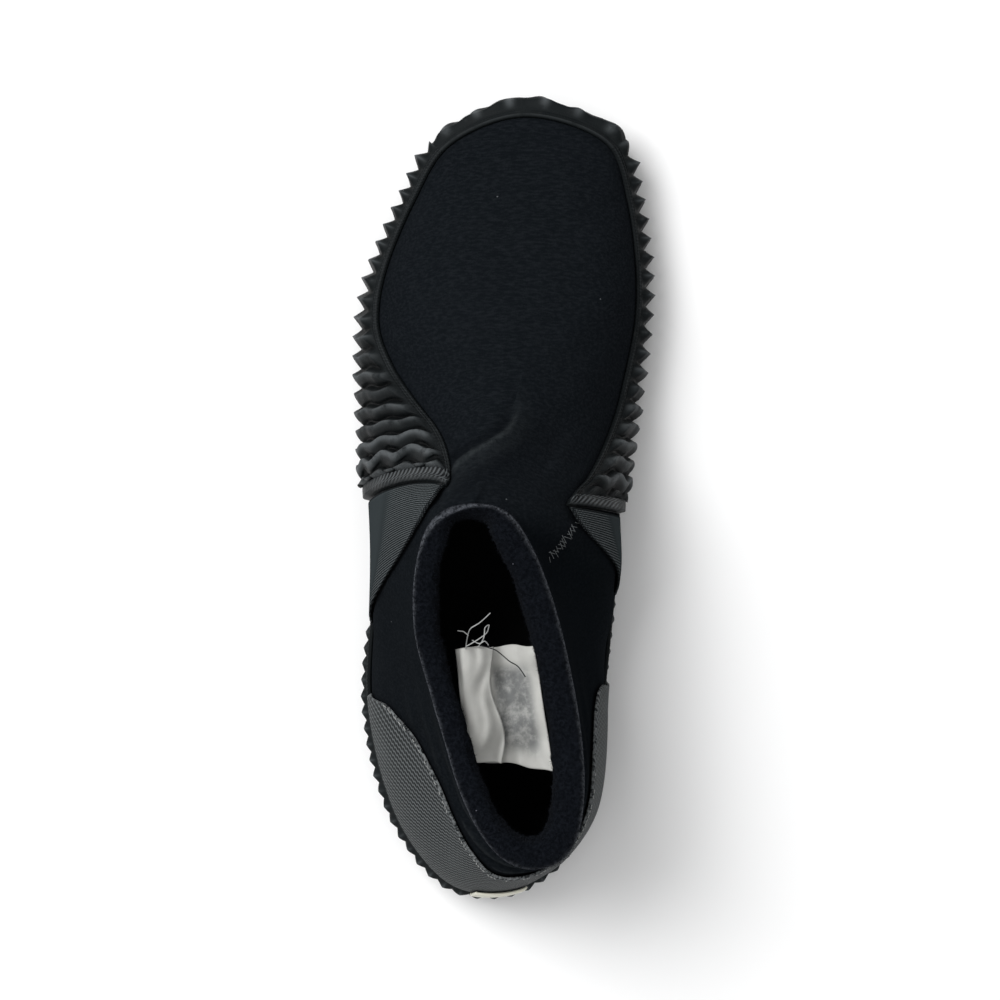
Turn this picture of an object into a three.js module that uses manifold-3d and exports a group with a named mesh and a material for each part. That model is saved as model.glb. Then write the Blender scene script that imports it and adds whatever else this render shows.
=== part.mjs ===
// A left water shoe: a neoprene bootie in a moulded rubber cup sole, with a heel counter and side saddles.
// Millimetres, +Z up, +Y to the toe, -X the outer side of the foot, origin on the floor below the middle.
import * as THREE from "three";
import { mergeVertices } from "three/addons/utils/BufferGeometryUtils.js";
import Module from "manifold-3d";

const wasm = await Module();
wasm.setup();

// Sizes of the last
const lastLength = 273;
const ballWidth = 96;
const toeHeight = 39;
const ballHeight = 51;
const instepHeight = 67;
const toeSpring = 9;
const archLift = 3;
const heelBevel = 2.5;

// Sizes of the collar, which leans to the inner side as it goes back and bows to the outer side in its middle
const collarLength = 117;
const collarWidth = 45;
const collarBack = 96;
const collarSide = 91;
const collarFront = 99;
const collarMidX = 5;
const collarMidY = -60.5;
const collarTurn = 11.5;
const collarSquareness = 2.4;
const collarBow = 3;
const collarLean = 6;
const crestLag = 3;
const crestBowOuter = 7;
const crestBowInner = 2;

// Sizes of the materials
const gap = 0.3;
const neopreneWall = 3;
const soleThickness = 7.5;
const lugDepth = 3;
const insoleThickness = 3;
const insoleMargin = 1.6;
const overlayGap = 0.5;
const rubberWall = 1.6;
const ribDepth = 3.6;
const ribPitch = 6.4;
const heelRibDepth = 1.4;
const heelRibPitch = 5.4;
const heelPad = 1;
const toeScallop = 12;
const ribWave = 1.5;
const saddleThickness = 1.3;
const counterThickness = 1.4;
const badgeThickness = 1;
const badgeWidth = 18;
const badgeHeight = 9;
const badgeInward = 3;
const bindingSkin = 1.2;
const bindingRoll = 4;
const bindingDepth = 10;
const bindingLip = 2.5;

// The sole's own sizes
const barWidth = 6;
const barSpacing = 12.5;
const barZigzag = 3;
const barStep = 19;
const barMargin = 3;
const barCutterDepth = 60;
const bandWidth = 5;
const bandRise = 2.6;

// Where pieces begin and end along the shoe, as shares of the last's length
const bandOuterAt = 0.498;
const bandInnerAt = 0.482;
const saddleOuterEnd = 0.336;
const saddleInnerEnd = 0.376;
const counterOuterEnd = 0.246;
const counterInnerEnd = 0.26;
const bumperAt = 0.925;
const toeCentreAt = 0.868;
const toeCentreX = 0.065;

// The feather line, a row for each section from heel to toe.
// at is a share of the length. Half widths and swells are shares of the ball width.
// swell is how far the side stands out above the line, and round the exponent of the arch over the foot.
const sections = [
  { at: 0.008, outer: 0.18, inner: 0.06, outerSwell: 0.0, innerSwell: 0.0, outerRound: 1.0, innerRound: 1.0 },
  { at: 0.04, outer: 0.288, inner: 0.18, outerSwell: 0.0, innerSwell: 0.02, outerRound: 1.0, innerRound: 1.0 },
  { at: 0.11, outer: 0.405, inner: 0.272, outerSwell: 0.0, innerSwell: 0.06, outerRound: 1.0, innerRound: 1.0 },
  { at: 0.24, outer: 0.48, inner: 0.31, outerSwell: 0.01, innerSwell: 0.075, outerRound: 1.1, innerRound: 1.0 },
  { at: 0.4, outer: 0.432, inner: 0.36, outerSwell: 0.05, innerSwell: 0.085, outerRound: 1.4, innerRound: 1.0 },
  { at: 0.52, outer: 0.467, inner: 0.41, outerSwell: 0.035, innerSwell: 0.02, outerRound: 1.6, innerRound: 1.15 },
  { at: 0.64, outer: 0.503, inner: 0.465, outerSwell: 0.0, innerSwell: 0.0, outerRound: 1.3, innerRound: 1.05 },
  { at: 0.76, outer: 0.483, inner: 0.5, outerSwell: 0.0, innerSwell: 0.0, outerRound: 0.92, innerRound: 0.8 },
  { at: 0.88, outer: 0.348, inner: 0.468, outerSwell: 0.0, innerSwell: 0.0, outerRound: 0.86, innerRound: 0.8 },
  { at: 0.96, outer: 0.21, inner: 0.4, outerSwell: 0.0, innerSwell: 0.0, outerRound: 0.84, innerRound: 0.84 },
];
const heelTipX = -0.065;
const toeTipX = 0.085;

// The top line: the collar's edge at the back and the crown of the foot in front of it
const topLine = [
  { at: 0.0, top: collarBack },
  { at: 0.12, top: collarBack },
  { at: 0.28, top: collarSide },
  { at: 0.4, top: 0.5 * (collarSide + collarFront) },
  { at: 0.492, top: collarFront },
  { at: 0.525, top: 0.35 * instepHeight + 0.65 * collarFront },
  { at: 0.56, top: 0.74 * instepHeight + 0.26 * collarFront },
  { at: 0.6, top: 0.96 * instepHeight },
  { at: 0.65, top: 0.6 * ballHeight + 0.4 * instepHeight },
  { at: 0.72, top: ballHeight },
  { at: 0.8, top: 0.5 * (ballHeight + toeHeight) },
  { at: 0.87, top: toeHeight },
  { at: 1.0, top: 0.76 * toeHeight },
];

// The rubber's top edge, as a share of the climb from the feather line to the crest
const rubberEdge = [
  { at: 0.0, outer: 0.13, inner: 0.13 },
  { at: 0.3, outer: 0.12, inner: 0.12 },
  { at: 0.45, outer: 0.09, inner: 0.09 },
  { at: 0.475, outer: 0.8, inner: 0.57 },
  { at: 0.5, outer: 0.79, inner: 0.52 },
  { at: 0.52, outer: 0.75, inner: 0.45 },
  { at: 0.57, outer: 0.65, inner: 0.34 },
  { at: 0.62, outer: 0.52, inner: 0.26 },
  { at: 0.67, outer: 0.4, inner: 0.22 },
  { at: 0.73, outer: 0.3, inner: 0.19 },
  { at: 0.86, outer: 0.27, inner: 0.2 },
  { at: 0.94, outer: 0.3, inner: 0.27 },
  { at: 1.0, outer: 0.34, inner: 0.34 },
];

// The saddles' upper edges in the same share, from the band to their rear ends
const saddleEdge = [
  { along: 0.0, outer: 0.79, inner: 0.56 },
  { along: 0.2, outer: 0.82, inner: 0.55 },
  { along: 0.4, outer: 0.82, inner: 0.5 },
  { along: 0.55, outer: 0.78, inner: 0.41 },
  { along: 0.7, outer: 0.68, inner: 0.28 },
  { along: 0.85, outer: 0.46, inner: 0.19 },
  { along: 1.0, outer: 0.12, inner: 0.12 },
];

// The heel counter's top edge in the same share, from the back to its front end
const counterEdge = [
  { along: 0.0, climb: 0.52 },
  { along: 0.3, climb: 0.61 },
  { along: 0.6, climb: 0.66 },
  { along: 0.8, climb: 0.58 },
  { along: 0.93, climb: 0.4 },
  { along: 1.0, climb: 0.2 },
];

// Counts for the faceted surfaces
const ringColumns = 20;
const footColumns = 17;
const barRimPoints = 72;
const climbRows = [0, 0.07, 0.15, 0.25, 0.36, 0.48, 0.6, 0.72, 0.84, 0.93, 1];
const ribRows = [0.06, 0.14, 0.22, 0.3, 0.38, 0.46, 0.54, 0.62, 0.7];

const mix = (a, b, share) => a + (b - a) * share;
const clamp = (x, low, high) => Math.min(Math.max(x, low), high);
const ease = (x) => {
  const c = clamp(x, 0, 1);
  return c * c * (3 - 2 * c);
};
const lengthY = (at) => (at - 0.5) * lastLength;
const shareOf = (y) => y / lastLength + 0.5;

// Reads one column of a table at a place along its key, smoothly and without overshoot.
function read(table, key, column, place) {
  const last = table.length - 1;
  const x = clamp(place, table[0][key], table[last][key]);
  let i = 0;
  while (i < last - 1 && x > table[i + 1][key]) i += 1;
  const slope = (k) => {
    if (k < 1 || k > last) return 0;
    return (table[k][column] - table[k - 1][column]) / (table[k][key] - table[k - 1][key]);
  };
  const tangent = (k) => {
    const [before, after] = [slope(k), slope(k + 1)];
    return before * after > 0 ? (2 * before * after) / (before + after) : 0;
  };
  const span = table[i + 1][key] - table[i][key];
  const s = (x - table[i][key]) / span;
  const [s2, s3] = [s * s, s * s * s];
  return (
    (2 * s3 - 3 * s2 + 1) * table[i][column] +
    (s3 - 2 * s2 + s) * span * tangent(i) +
    (3 * s2 - 2 * s3) * table[i + 1][column] +
    (s3 - s2) * span * tangent(i + 1)
  );
}

// The feather line as a closed curve from the heel tip round the outer side to the toe and back
const outline = (() => {
  const at = (x, share) => new THREE.Vector3(x * ballWidth, lengthY(share), 0);
  const outer = sections.map((row) => at(-row.outer, row.at));
  const inner = sections.map((row) => at(row.inner, row.at)).reverse();
  const curve = new THREE.CatmullRomCurve3(
    [at(heelTipX, 0), ...outer, at(toeTipX, 1), ...inner],
    true,
    "centripetal",
  );
  curve.arcLengthDivisions = 1600;
  return curve.getSpacedPoints(1600);
})();
const outlineLength = outline.slice(1).reduce((sum, p, i) => sum + p.distanceTo(outline[i]), 0);
const toeTurn = outline.reduce((best, p, i) => (p.y > outline[best].y ? i : best), 0) / (outline.length - 1);

// A place round the shoe is a share of the outline, its turn. Each side's own share runs from heel to toe.
const wrap = (turn) => turn - Math.floor(turn);
const isOuter = (turn) => wrap(turn) < toeTurn;
const sideShare = (turn) => (isOuter(turn) ? wrap(turn) / toeTurn : (1 - wrap(turn)) / (1 - toeTurn));
const turnOf = (outerSide, share) => (outerSide ? share * toeTurn : 1 - share * (1 - toeTurn));

function featherPoint(turn) {
  const place = wrap(turn) * (outline.length - 1);
  const i = Math.min(Math.floor(place), outline.length - 2);
  return outline[i].clone().lerp(outline[i + 1], place - i);
}

function outward(turn) {
  const step = 2 / outline.length;
  const along = featherPoint(turn + step).sub(featherPoint(turn - step)).normalize();
  return new THREE.Vector3(-along.y, along.x, 0);
}

const meanY = (share) => 0.5 * (featherPoint(turnOf(true, share)).y + featherPoint(turnOf(false, share)).y);

// The turn at which the feather line passes a place along the shoe
function turnAt(outerSide, at) {
  let [low, high] = [0, 1];
  for (let i = 0; i < 40; i += 1) {
    const middle = 0.5 * (low + high);
    if (featherPoint(turnOf(outerSide, middle)).y < lengthY(at)) low = middle;
    else high = middle;
  }
  return turnOf(outerSide, low);
}

// The crest: the collar's ring behind, and the foot's ridge from the collar's front to the toe's centre
const turned = (x, y) => {
  const angle = THREE.MathUtils.degToRad(collarTurn);
  return new THREE.Vector3(
    collarMidX + x * Math.cos(angle) - y * Math.sin(angle),
    collarMidY + x * Math.sin(angle) + y * Math.cos(angle),
    0,
  );
};
const collarTip = turned(0, collarLength / 2);
const ringShare = (() => {
  let [low, high] = [0, 1];
  for (let i = 0; i < 40; i += 1) {
    const middle = 0.5 * (low + high);
    if (meanY(middle) < collarTip.y + crestLag) low = middle;
    else high = middle;
  }
  return low;
})();
const toeCentre = new THREE.Vector3(toeCentreX * ballWidth, lengthY(toeCentreAt), 0);
const spineSoftness = 0.045 * lastLength;
const softBelow = (y) => toeCentre.y - spineSoftness * Math.log(1 + Math.exp((toeCentre.y - y) / spineSoftness));

function crestPoint(turn) {
  const share = sideShare(turn);
  if (share < ringShare) {
    const angle = (Math.PI * share) / ringShare;
    const power = 2 / collarSquareness;
    const across = (collarWidth / 2) * Math.pow(Math.sin(angle), power);
    const along = -Math.sign(Math.cos(angle)) * Math.pow(Math.abs(Math.cos(angle)), power);
    const bowed = -collarBow * Math.sin(angle);
    return turned(bowed + (isOuter(turn) ? -across : across), (collarLength / 2) * along);
  }
  const [start, end] = [softBelow(meanY(ringShare)), softBelow(meanY(1))];
  const along = (softBelow(meanY(share)) - start) / (end - start);
  return new THREE.Vector3(
    mix(collarTip.x, toeCentre.x, Math.sqrt(Math.max(along, 0))),
    mix(collarTip.y, toeCentre.y, along),
    0,
  );
}

// How far the sole's underside stands off the floor
function lift(y) {
  const at = shareOf(y);
  const toe = toeSpring * Math.pow(clamp((at - 0.8) / 0.2, 0, 1), 2);
  const arch = archLift * ease((at - 0.32) / 0.1) * ease((0.6 - at) / 0.1);
  const heel = heelBevel * Math.pow(clamp((0.07 - at) / 0.07, 0, 1), 2);
  return toe + arch + heel;
}
const floorHeight = (y) => lugDepth + soleThickness + lift(y);
const featherHeight = (y) => floorHeight(y) + gap;

// The upper's outer face. climb runs from the feather line, 0, to the crest, 1.
function skin(turn, climb) {
  const foot = featherPoint(turn);
  const crest = crestPoint(turn);
  const at = shareOf(foot.y);
  const side = isOuter(turn) ? "outer" : "inner";
  const round = read(sections, "at", side + "Round", at);
  const swell = ballWidth * read(sections, "at", side + "Swell", at);
  const wall = ease((1 - sideShare(turn) / ringShare) / 0.4);
  const phi = (climb * Math.PI) / 2;
  const archLean = 1 - Math.pow(Math.cos(phi), round);
  const archClimb = Math.pow(Math.sin(phi), round);
  const lean = climb >= 1 ? 1 : mix(archLean, ease(climb), wall);
  const rise = climb >= 1 ? 1 : mix(archClimb, climb, wall);
  const bump = 6.75 * climb * (1 - climb) * (1 - climb);
  const point = foot.clone().lerp(crest, lean).addScaledVector(outward(turn), swell * bump);
  const bow = isOuter(turn) ? crestBowOuter : crestBowInner;
  const near = Math.exp(-Math.pow((sideShare(turn) - ringShare) / 0.11, 2));
  point.y += bow * near * 6.75 * climb * climb * (1 - climb);
  const base = featherHeight(foot.y);
  point.z = base + (read(topLine, "at", "top", shareOf(point.y)) - base) * rise;
  return point;
}

function skinNormal(turn, climb) {
  const step = 0.002;
  const c = clamp(climb, 0.004, 0.985);
  const along = skin(turn + step, c).sub(skin(turn - step, c));
  const up = skin(turn, c + 0.01).sub(skin(turn, Math.max(c - 0.01, 0)));
  return up.cross(along).normalize();
}

// The way that the crest faces: up and forward on the foot's ridge, and out with a little lean at the collar
function crestNormal(turn) {
  const share = sideShare(turn);
  const crest = crestPoint(turn);
  const run = 4;
  const fall =
    read(topLine, "at", "top", shareOf(crest.y)) - read(topLine, "at", "top", shareOf(crest.y + run));
  const ridge = new THREE.Vector3(0, fall / run, 1).normalize();
  if (share >= ringShare) return ridge;
  const near = Math.min(share + 0.01, ringShare);
  const along = crestPoint(turnOf(isOuter(turn), near)).sub(crestPoint(turnOf(isOuter(turn), near - 0.02)));
  const side = isOuter(turn) ? 1 : -1;
  const lean = Math.tan(THREE.MathUtils.degToRad(collarLean));
  const out = new THREE.Vector3(-along.y, along.x, 0).multiplyScalar(side).normalize().setZ(lean).normalize();
  return out.lerp(ridge, ease((share / ringShare - 0.78) / 0.22)).normalize();
}

// A point of the form, moved off its outer face
function formPoint(turn, climb, offset) {
  const normal = skinNormal(turn, climb).lerp(crestNormal(turn), ease((climb - 0.72) / 0.28)).normalize();
  return skin(turn, climb).addScaledVector(normal, offset);
}

// The climb that lies a distance above another on the same meridian
function climbPast(turn, climb, distance) {
  const step = 0.01 * Math.sign(distance);
  const speed = skin(turn, climb + step).distanceTo(skin(turn, climb)) / Math.abs(step);
  return climb + distance / speed;
}

// A mesh from a list of corner triples. Corners that fall together are merged, and empty faces are dropped.
function solidFrom(triangles) {
  const geometry = new THREE.BufferGeometry();
  const corners = triangles.flat().flatMap((p) => [p.x, p.y, p.z]);
  geometry.setAttribute("position", new THREE.Float32BufferAttribute(corners, 3));
  const merged = mergeVertices(geometry, 1e-3);
  const kept = [];
  const index = merged.index.array;
  for (let i = 0; i < index.length; i += 3) {
    const [a, b, c] = [index[i], index[i + 1], index[i + 2]];
    if (a !== b && b !== c && a !== c) kept.push(a, b, c);
  }
  merged.setIndex(kept);
  return merged;
}

const quad = (a, b, c, d) => [
  [a, b, c],
  [a, c, d],
];

// Joins rows of points to the next. closed rows run round the shoe.
function skinOver(rows, closed) {
  const faces = [];
  for (let r = 0; r + 1 < rows.length; r += 1) {
    const count = rows[r].length;
    for (let i = 0; i < (closed ? count : count - 1); i += 1) {
      const j = (i + 1) % count;
      faces.push(...quad(rows[r][i], rows[r + 1][i], rows[r + 1][j], rows[r][j]));
    }
  }
  return faces;
}

const flipped = (faces) => faces.map(([a, b, c]) => [a, c, b]);

// Closes a ring that runs from the heel tip up the outer side to the toe tip and back, in strips across the shoe
function capAcross(ring) {
  const toe = ring.reduce((best, p, i) => (p.y > ring[best].y ? i : best), 0);
  const outer = ring.slice(0, toe + 1);
  const inner = [ring[0], ...ring.slice(toe).reverse()];
  const faces = [];
  let [i, j] = [0, 0];
  while (i < outer.length - 1 || j < inner.length - 1) {
    const outerNext = j === inner.length - 1 || (i < outer.length - 1 && outer[i + 1].y <= inner[j + 1].y);
    if (outerNext) faces.push([outer[i], outer[i + 1], inner[j]]);
    else faces.push([outer[i], inner[j + 1], inner[j]]);
    if (outerNext) i += 1;
    else j += 1;
  }
  return faces.filter((f) => new Set(f).size === 3);
}

const toManifold = (geometry) =>
  new wasm.Manifold(
    new wasm.Mesh({
      numProp: 3,
      vertProperties: new Float32Array(geometry.getAttribute("position").array),
      triVerts: new Uint32Array(geometry.index.array),
    }),
  );

function fromManifold(solid) {
  const mesh = solid.getMesh();
  const geometry = new THREE.BufferGeometry();
  geometry.setAttribute("position", new THREE.BufferAttribute(mesh.vertProperties, 3));
  geometry.setIndex(new THREE.BufferAttribute(mesh.triVerts, 1));
  return geometry;
}

const bare = (geometry) => {
  geometry.deleteAttribute("normal");
  geometry.deleteAttribute("uv");
  return mergeVertices(geometry);
};

// The neoprene bootie, open at the collar and below
const ringShares = Array.from({ length: ringColumns + 1 }, (_, i) => (ringShare * i) / ringColumns);

function upperGeometry() {
  const footShares = Array.from({ length: footColumns }, (_, i) => mix(ringShare, 1, (i + 1) / footColumns));
  const placed = [...ringShares, ...footShares];
  const outerTurns = placed.map((s) => turnOf(true, s));
  const innerTurns = placed.slice(1, -1).map((s) => turnOf(false, s)).reverse();
  const turns = [...outerTurns, ...innerTurns];
  const face = (offset) => climbRows.map((climb) => turns.map((turn) => formPoint(turn, climb, offset)));
  const outside = face(0);
  const inside = face(-neopreneWall);
  const top = climbRows.length - 1;
  const onRing = (i) => i <= ringColumns || i >= turns.length - ringColumns;
  const collarRim = [];
  turns.forEach((_, i) => {
    const j = (i + 1) % turns.length;
    if (onRing(i) && onRing(j)) collarRim.push(...quad(outside[top][i], inside[top][i], inside[top][j], outside[top][j]));
  });
  return solidFrom([
    ...skinOver(outside, true),
    ...flipped(skinOver(inside, true)),
    ...flipped(skinOver([outside[0], inside[0]], true)),
    ...collarRim,
  ]);
}

// The rolled hem round the collar's edge: a thin lip outside and a thick fold inside.
// What lies below the edge follows the bootie's wall.
function bindingGeometry() {
  const inner = -neopreneWall - 1.6 * gap;
  const profile = [
    { across: gap, down: bindingLip },
    { across: gap, down: -gap },
    { across: inner, down: -gap },
    { across: inner - gap, down: 0.5 * bindingDepth },
    { across: inner - gap, down: bindingDepth },
    { across: inner - 0.6 * bindingRoll, down: bindingDepth },
    { across: inner - bindingRoll, down: 0.5 * bindingDepth },
    { across: inner - bindingRoll, down: 0.1 * bindingDepth },
    { across: inner - 0.5 * bindingRoll, down: -gap - bindingSkin },
    { across: gap, down: -gap - bindingSkin },
    { across: gap + bindingSkin, down: 0 },
    { across: gap + bindingSkin, down: bindingLip },
  ];
  const outerTurns = ringShares.map((share) => turnOf(true, share));
  const innerTurns = ringShares.slice(1, -1).map((share) => turnOf(false, share)).reverse();
  const rings = [...outerTurns, ...innerTurns].map((turn) =>
    profile.map((p) => {
      if (p.down > 0) return formPoint(turn, climbPast(turn, 1, -p.down), p.across);
      const point = formPoint(turn, 1, p.across);
      return point.setZ(point.z - p.down);
    }),
  );
  const rows = profile.map((_, k) => rings.map((ring) => ring[k]));
  return solidFrom(flipped(skinOver([...rows, rows[0]], true)));
}

// The ribs run round the forefoot between the two bands, and round the heel between the saddles' ends.
// Each column of the sole's wall has its turn and the share of the rib's depth that it stands out.
function wallColumns() {
  const place = {
    outerHeel: turnAt(true, saddleOuterEnd),
    outerBand: turnAt(true, bandOuterAt),
    outerBumper: turnAt(true, bumperAt),
    innerBumper: turnAt(false, bumperAt),
    innerBand: turnAt(false, bandInnerAt),
    innerHeel: turnAt(false, saddleInnerEnd),
  };
  const inTurns = (distance) => distance / outlineLength;
  const columns = [];
  const ribs = (from, to, pitch, pad = 0) => {
    const count = Math.round(((to - from) * outlineLength) / pitch);
    for (let i = 0; i < 2 * count; i += 1)
      columns.push({ turn: mix(from, to, i / (2 * count)), rib: i % 2, ribbed: i > 0, pad });
  };
  const plain = (from, to, count) => {
    for (let i = 1; i < count; i += 1) columns.push({ turn: mix(from, to, i / count), rib: 0 });
  };
  const band = (from, direction) => {
    const [rear, front] = [from, from + direction * inTurns(bandWidth)];
    const edge = direction * inTurns(gap);
    const list = [
      { turn: rear - edge, rib: 0, low: true },
      { turn: rear, band: 0, rib: 0 },
      { turn: rear + edge, band: 1, rib: 0 },
      { turn: front - edge, band: 1, rib: 0 },
      { turn: front, band: 0, rib: 0 },
    ];
    columns.push(...(direction > 0 ? list : list.reverse()));
    return front;
  };
  const heelStep = inTurns(gap);
  ribs(0, place.outerHeel - heelStep, heelRibPitch, heelPad);
  columns.push({ turn: place.outerHeel - heelStep, rib: 0, pad: heelPad }, { turn: place.outerHeel, rib: 0 });
  plain(place.outerHeel, place.outerBand, 8);
  const outerFront = band(place.outerBand, 1);
  const innerFront = place.innerBand - inTurns(bandWidth);
  columns.pop();
  ribs(outerFront, place.outerBumper, ribPitch);
  ribs(place.outerBumper, place.innerBumper, toeScallop);
  ribs(place.innerBumper, innerFront, ribPitch);
  band(place.innerBand, -1);
  plain(place.innerBand, place.innerHeel, 8);
  columns.push({ turn: place.innerHeel, rib: 0 });
  ribs(place.innerHeel + heelStep, 1, heelRibPitch, heelPad);
  return columns;
}

const edgeClimb = (turn, at, low) => {
  const side = isOuter(turn) ? "outer" : "inner";
  const bandAt = isOuter(turn) ? bandOuterAt : bandInnerAt;
  const behind = low || at < bandAt - 1e-4;
  return read(rubberEdge, "at", side, behind ? Math.min(at, 0.45) : Math.max(at, 0.475));
};

// The ribs are lower round the toe, where the wall is a smooth bumper, and round the heel, where it is thicker.
const ribReach = (at) =>
  at < saddleInnerEnd ? heelRibDepth : ribDepth * mix(1, 0.35, ease((at - bumperAt + 0.02) / 0.04));

// The rubber cup: its wall follows the upper, and its ribs wave as they climb and die out below the edge.
// Rows that pass the edge end on it.
function cupGeometry() {
  const columns = wallColumns().map((column) => {
    const foot = featherPoint(column.turn);
    const at = shareOf(foot.y);
    return { ...column, foot, at, edge: edgeClimb(column.turn, at, column.low) };
  });
  const band = (c) => (c.band ? bandRise : 0);
  const pad = (c) => c.pad ?? 0;
  const outerWall = (c, row, k) => {
    const climb = Math.min(row, c.edge);
    const fade = ease((c.edge - climb) / 0.07);
    const wave = c.ribbed ? ((k % 2 ? 1 : -1) * ribWave * fade) / outlineLength : 0;
    const reach = mix(0.75, 1, fade) * rubberWall + fade * (c.rib * ribReach(c.at) + pad(c)) + band(c);
    return formPoint(c.turn + wave, climb, gap + reach);
  };
  const level = (c, reach, height) =>
    c.foot.clone().addScaledVector(outward(c.turn), reach).setZ(height + lift(c.foot.y));
  const full = (c) => gap + rubberWall + 0.8 * c.rib * ribReach(c.at) + pad(c) + 0.5 * band(c);
  const rows = [
    columns.map((c) => level(c, full(c) - rubberWall, lugDepth)),
    columns.map((c) => level(c, full(c), lugDepth + 0.3 * soleThickness)),
    columns.map((c) => level(c, full(c), lugDepth + 0.95 * soleThickness)),
    ...ribRows.map((row, k) => columns.map((c) => outerWall(c, row, k))),
    columns.map((c) => outerWall(c, 1, 0)),
    columns.map((c) => formPoint(c.turn, c.edge, gap)),
    ...climbRows.slice(1, -3).reverse().map((row) =>
      columns.map((c) => formPoint(c.turn, Math.min(row, c.edge), gap)),
    ),
    columns.map((c) => level(c, gap, lugDepth + soleThickness)),
  ];
  return solidFrom([
    ...skinOver(rows, true),
    ...capAcross(rows[0]),
    ...flipped(capAcross(rows[rows.length - 1])),
  ]);
}

// Zigzag bars across the tread, cut to the outline
function treadBars() {
  const rim = Array.from({ length: barRimPoints }, (_, i) => {
    const turn = i / barRimPoints;
    const p = featherPoint(turn).addScaledVector(outward(turn), -barMargin);
    return new THREE.Vector2(p.x, p.y);
  });
  const keep = new THREE.ExtrudeGeometry(new THREE.Shape(rim), { depth: barCutterDepth, bevelEnabled: false });
  const inside = toManifold(bare(keep.translate(0, 0, -barCutterDepth / 3)));
  const reach = ballWidth / 2 + barStep;
  let bars = null;
  for (let y = lengthY(0.04); y < lengthY(0.97); y += barSpacing) {
    const at = shareOf(y);
    if (at > 0.33 && at < 0.58) continue;
    const line = [];
    for (let x = -reach, k = 0; x < reach; x += barStep, k += 1) line.push([x, y + (k % 2 ? barZigzag : -barZigzag)]);
    const shape = new THREE.Shape([
      ...line.map(([x, v]) => new THREE.Vector2(x, v - barWidth / 2)),
      ...line.map(([x, v]) => new THREE.Vector2(x, v + barWidth / 2)).reverse(),
    ]);
    const bottom = lift(y);
    const bar = new THREE.ExtrudeGeometry(shape, { depth: lugDepth + 0.4 * soleThickness, bevelEnabled: false });
    const solid = toManifold(bare(bar.translate(0, 0, bottom)));
    bars = bars ? bars.add(solid) : solid;
  }
  return bars.intersect(inside);
}

const outsoleGeometry = () => fromManifold(toManifold(cupGeometry()).add(treadBars()));

// A piece of even thickness over the upper, between two turns and two climbs
function overlayGeometry({ from, to, columns, rows, low, high, offset, thickness }) {
  const turns = Array.from({ length: columns + 1 }, (_, i) => mix(from, to, i / columns));
  const face = (reach) =>
    Array.from({ length: rows + 1 }, (_, r) =>
      turns.map((turn) => formPoint(turn, mix(low(turn), high(turn), r / rows), reach)),
    );
  const inside = face(offset);
  const outside = face(offset + thickness);
  const column = (grid, i) => grid.map((row) => row[i]);
  return solidFrom([
    ...skinOver(outside, false),
    ...flipped(skinOver(inside, false)),
    ...flipped(skinOver([outside[0], inside[0]], false)),
    ...skinOver([outside[rows], inside[rows]], false),
    ...skinOver([column(outside, 0), column(inside, 0)], false),
    ...flipped(skinOver([column(outside, columns), column(inside, columns)], false)),
  ]);
}

const aboveRubber = (turn) => {
  const at = shareOf(featherPoint(turn).y);
  return climbPast(turn, edgeClimb(turn, at, true), 1.5 * gap);
};

// The smooth panel between the band and the heel, cut to a point at its rear end
function saddleGeometry(outerSide) {
  const [bandAt, endAt] = outerSide ? [bandOuterAt, saddleOuterEnd] : [bandInnerAt, saddleInnerEnd];
  const behind = ((outerSide ? -1 : 1) * 3 * gap) / outlineLength;
  const start = turnAt(outerSide, bandAt) + behind;
  const end = turnAt(outerSide, endAt);
  const side = outerSide ? "outer" : "inner";
  const high = (turn) => {
    const edge = read(saddleEdge, "along", side, (turn - start) / (end - start));
    return Math.max(edge, climbPast(turn, aboveRubber(turn), 2));
  };
  const [from, to] = outerSide ? [end, start] : [start, end];
  return overlayGeometry({
    from,
    to,
    columns: 12,
    rows: 6,
    low: aboveRubber,
    high,
    offset: overlayGap,
    thickness: saddleThickness,
  });
}

const counterHigh = (turn) => {
  const t = turn > 0.5 ? turn - 1 : turn;
  const end = t > 0 ? turnAt(true, counterOuterEnd) : turnAt(false, counterInnerEnd) - 1;
  return Math.max(read(counterEdge, "along", "climb", t / end), climbPast(turn, aboveRubber(turn), 2));
};

// The grey counter round the heel
function counterGeometry() {
  return overlayGeometry({
    from: turnAt(false, counterInnerEnd) - 1,
    to: turnAt(true, counterOuterEnd),
    columns: 30,
    rows: 5,
    low: aboveRubber,
    high: counterHigh,
    offset: overlayGap,
    thickness: counterThickness,
  });
}

// The bare cream plate at the back of the heel
function badgeGeometry() {
  const half = badgeWidth / 2 / outlineLength;
  const middle = -badgeInward / outlineLength;
  const low = (turn) => climbPast(turn, aboveRubber(turn), 1);
  return overlayGeometry({
    from: middle - half,
    to: middle + half,
    columns: 6,
    rows: 3,
    low,
    high: (turn) => climbPast(turn, low(turn), badgeHeight),
    offset: 2 * overlayGap + counterThickness,
    thickness: badgeThickness,
  });
}

// The footbed inside the bootie
function insoleGeometry() {
  const count = 64;
  const ring = (height) =>
    Array.from({ length: count }, (_, i) => {
      const turn = i / count;
      const p = featherPoint(turn).addScaledVector(outward(turn), -neopreneWall - insoleMargin);
      return p.setZ(floorHeight(p.y) + gap + height);
    });
  const [bottom, top] = [ring(0), ring(insoleThickness)];
  return solidFrom([...skinOver([bottom, top], true), ...capAcross(bottom), ...flipped(capAcross(top))]);
}

const material = (color, roughness) => new THREE.MeshStandardMaterial({ color, roughness, metalness: 0 });
const neoprene = material(0x16171a, 0.95);
const fleece = material(0x14151f, 1);
const rubber = material(0x2b2d2e, 0.6);
const saddleRubber = material(0x333637, 0.55);
const counterMesh = material(0x5c5f61, 0.7);
const badgeRubber = material(0xd9d6c4, 0.6);
const foam = material(0x1b1b1d, 0.95);

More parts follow.
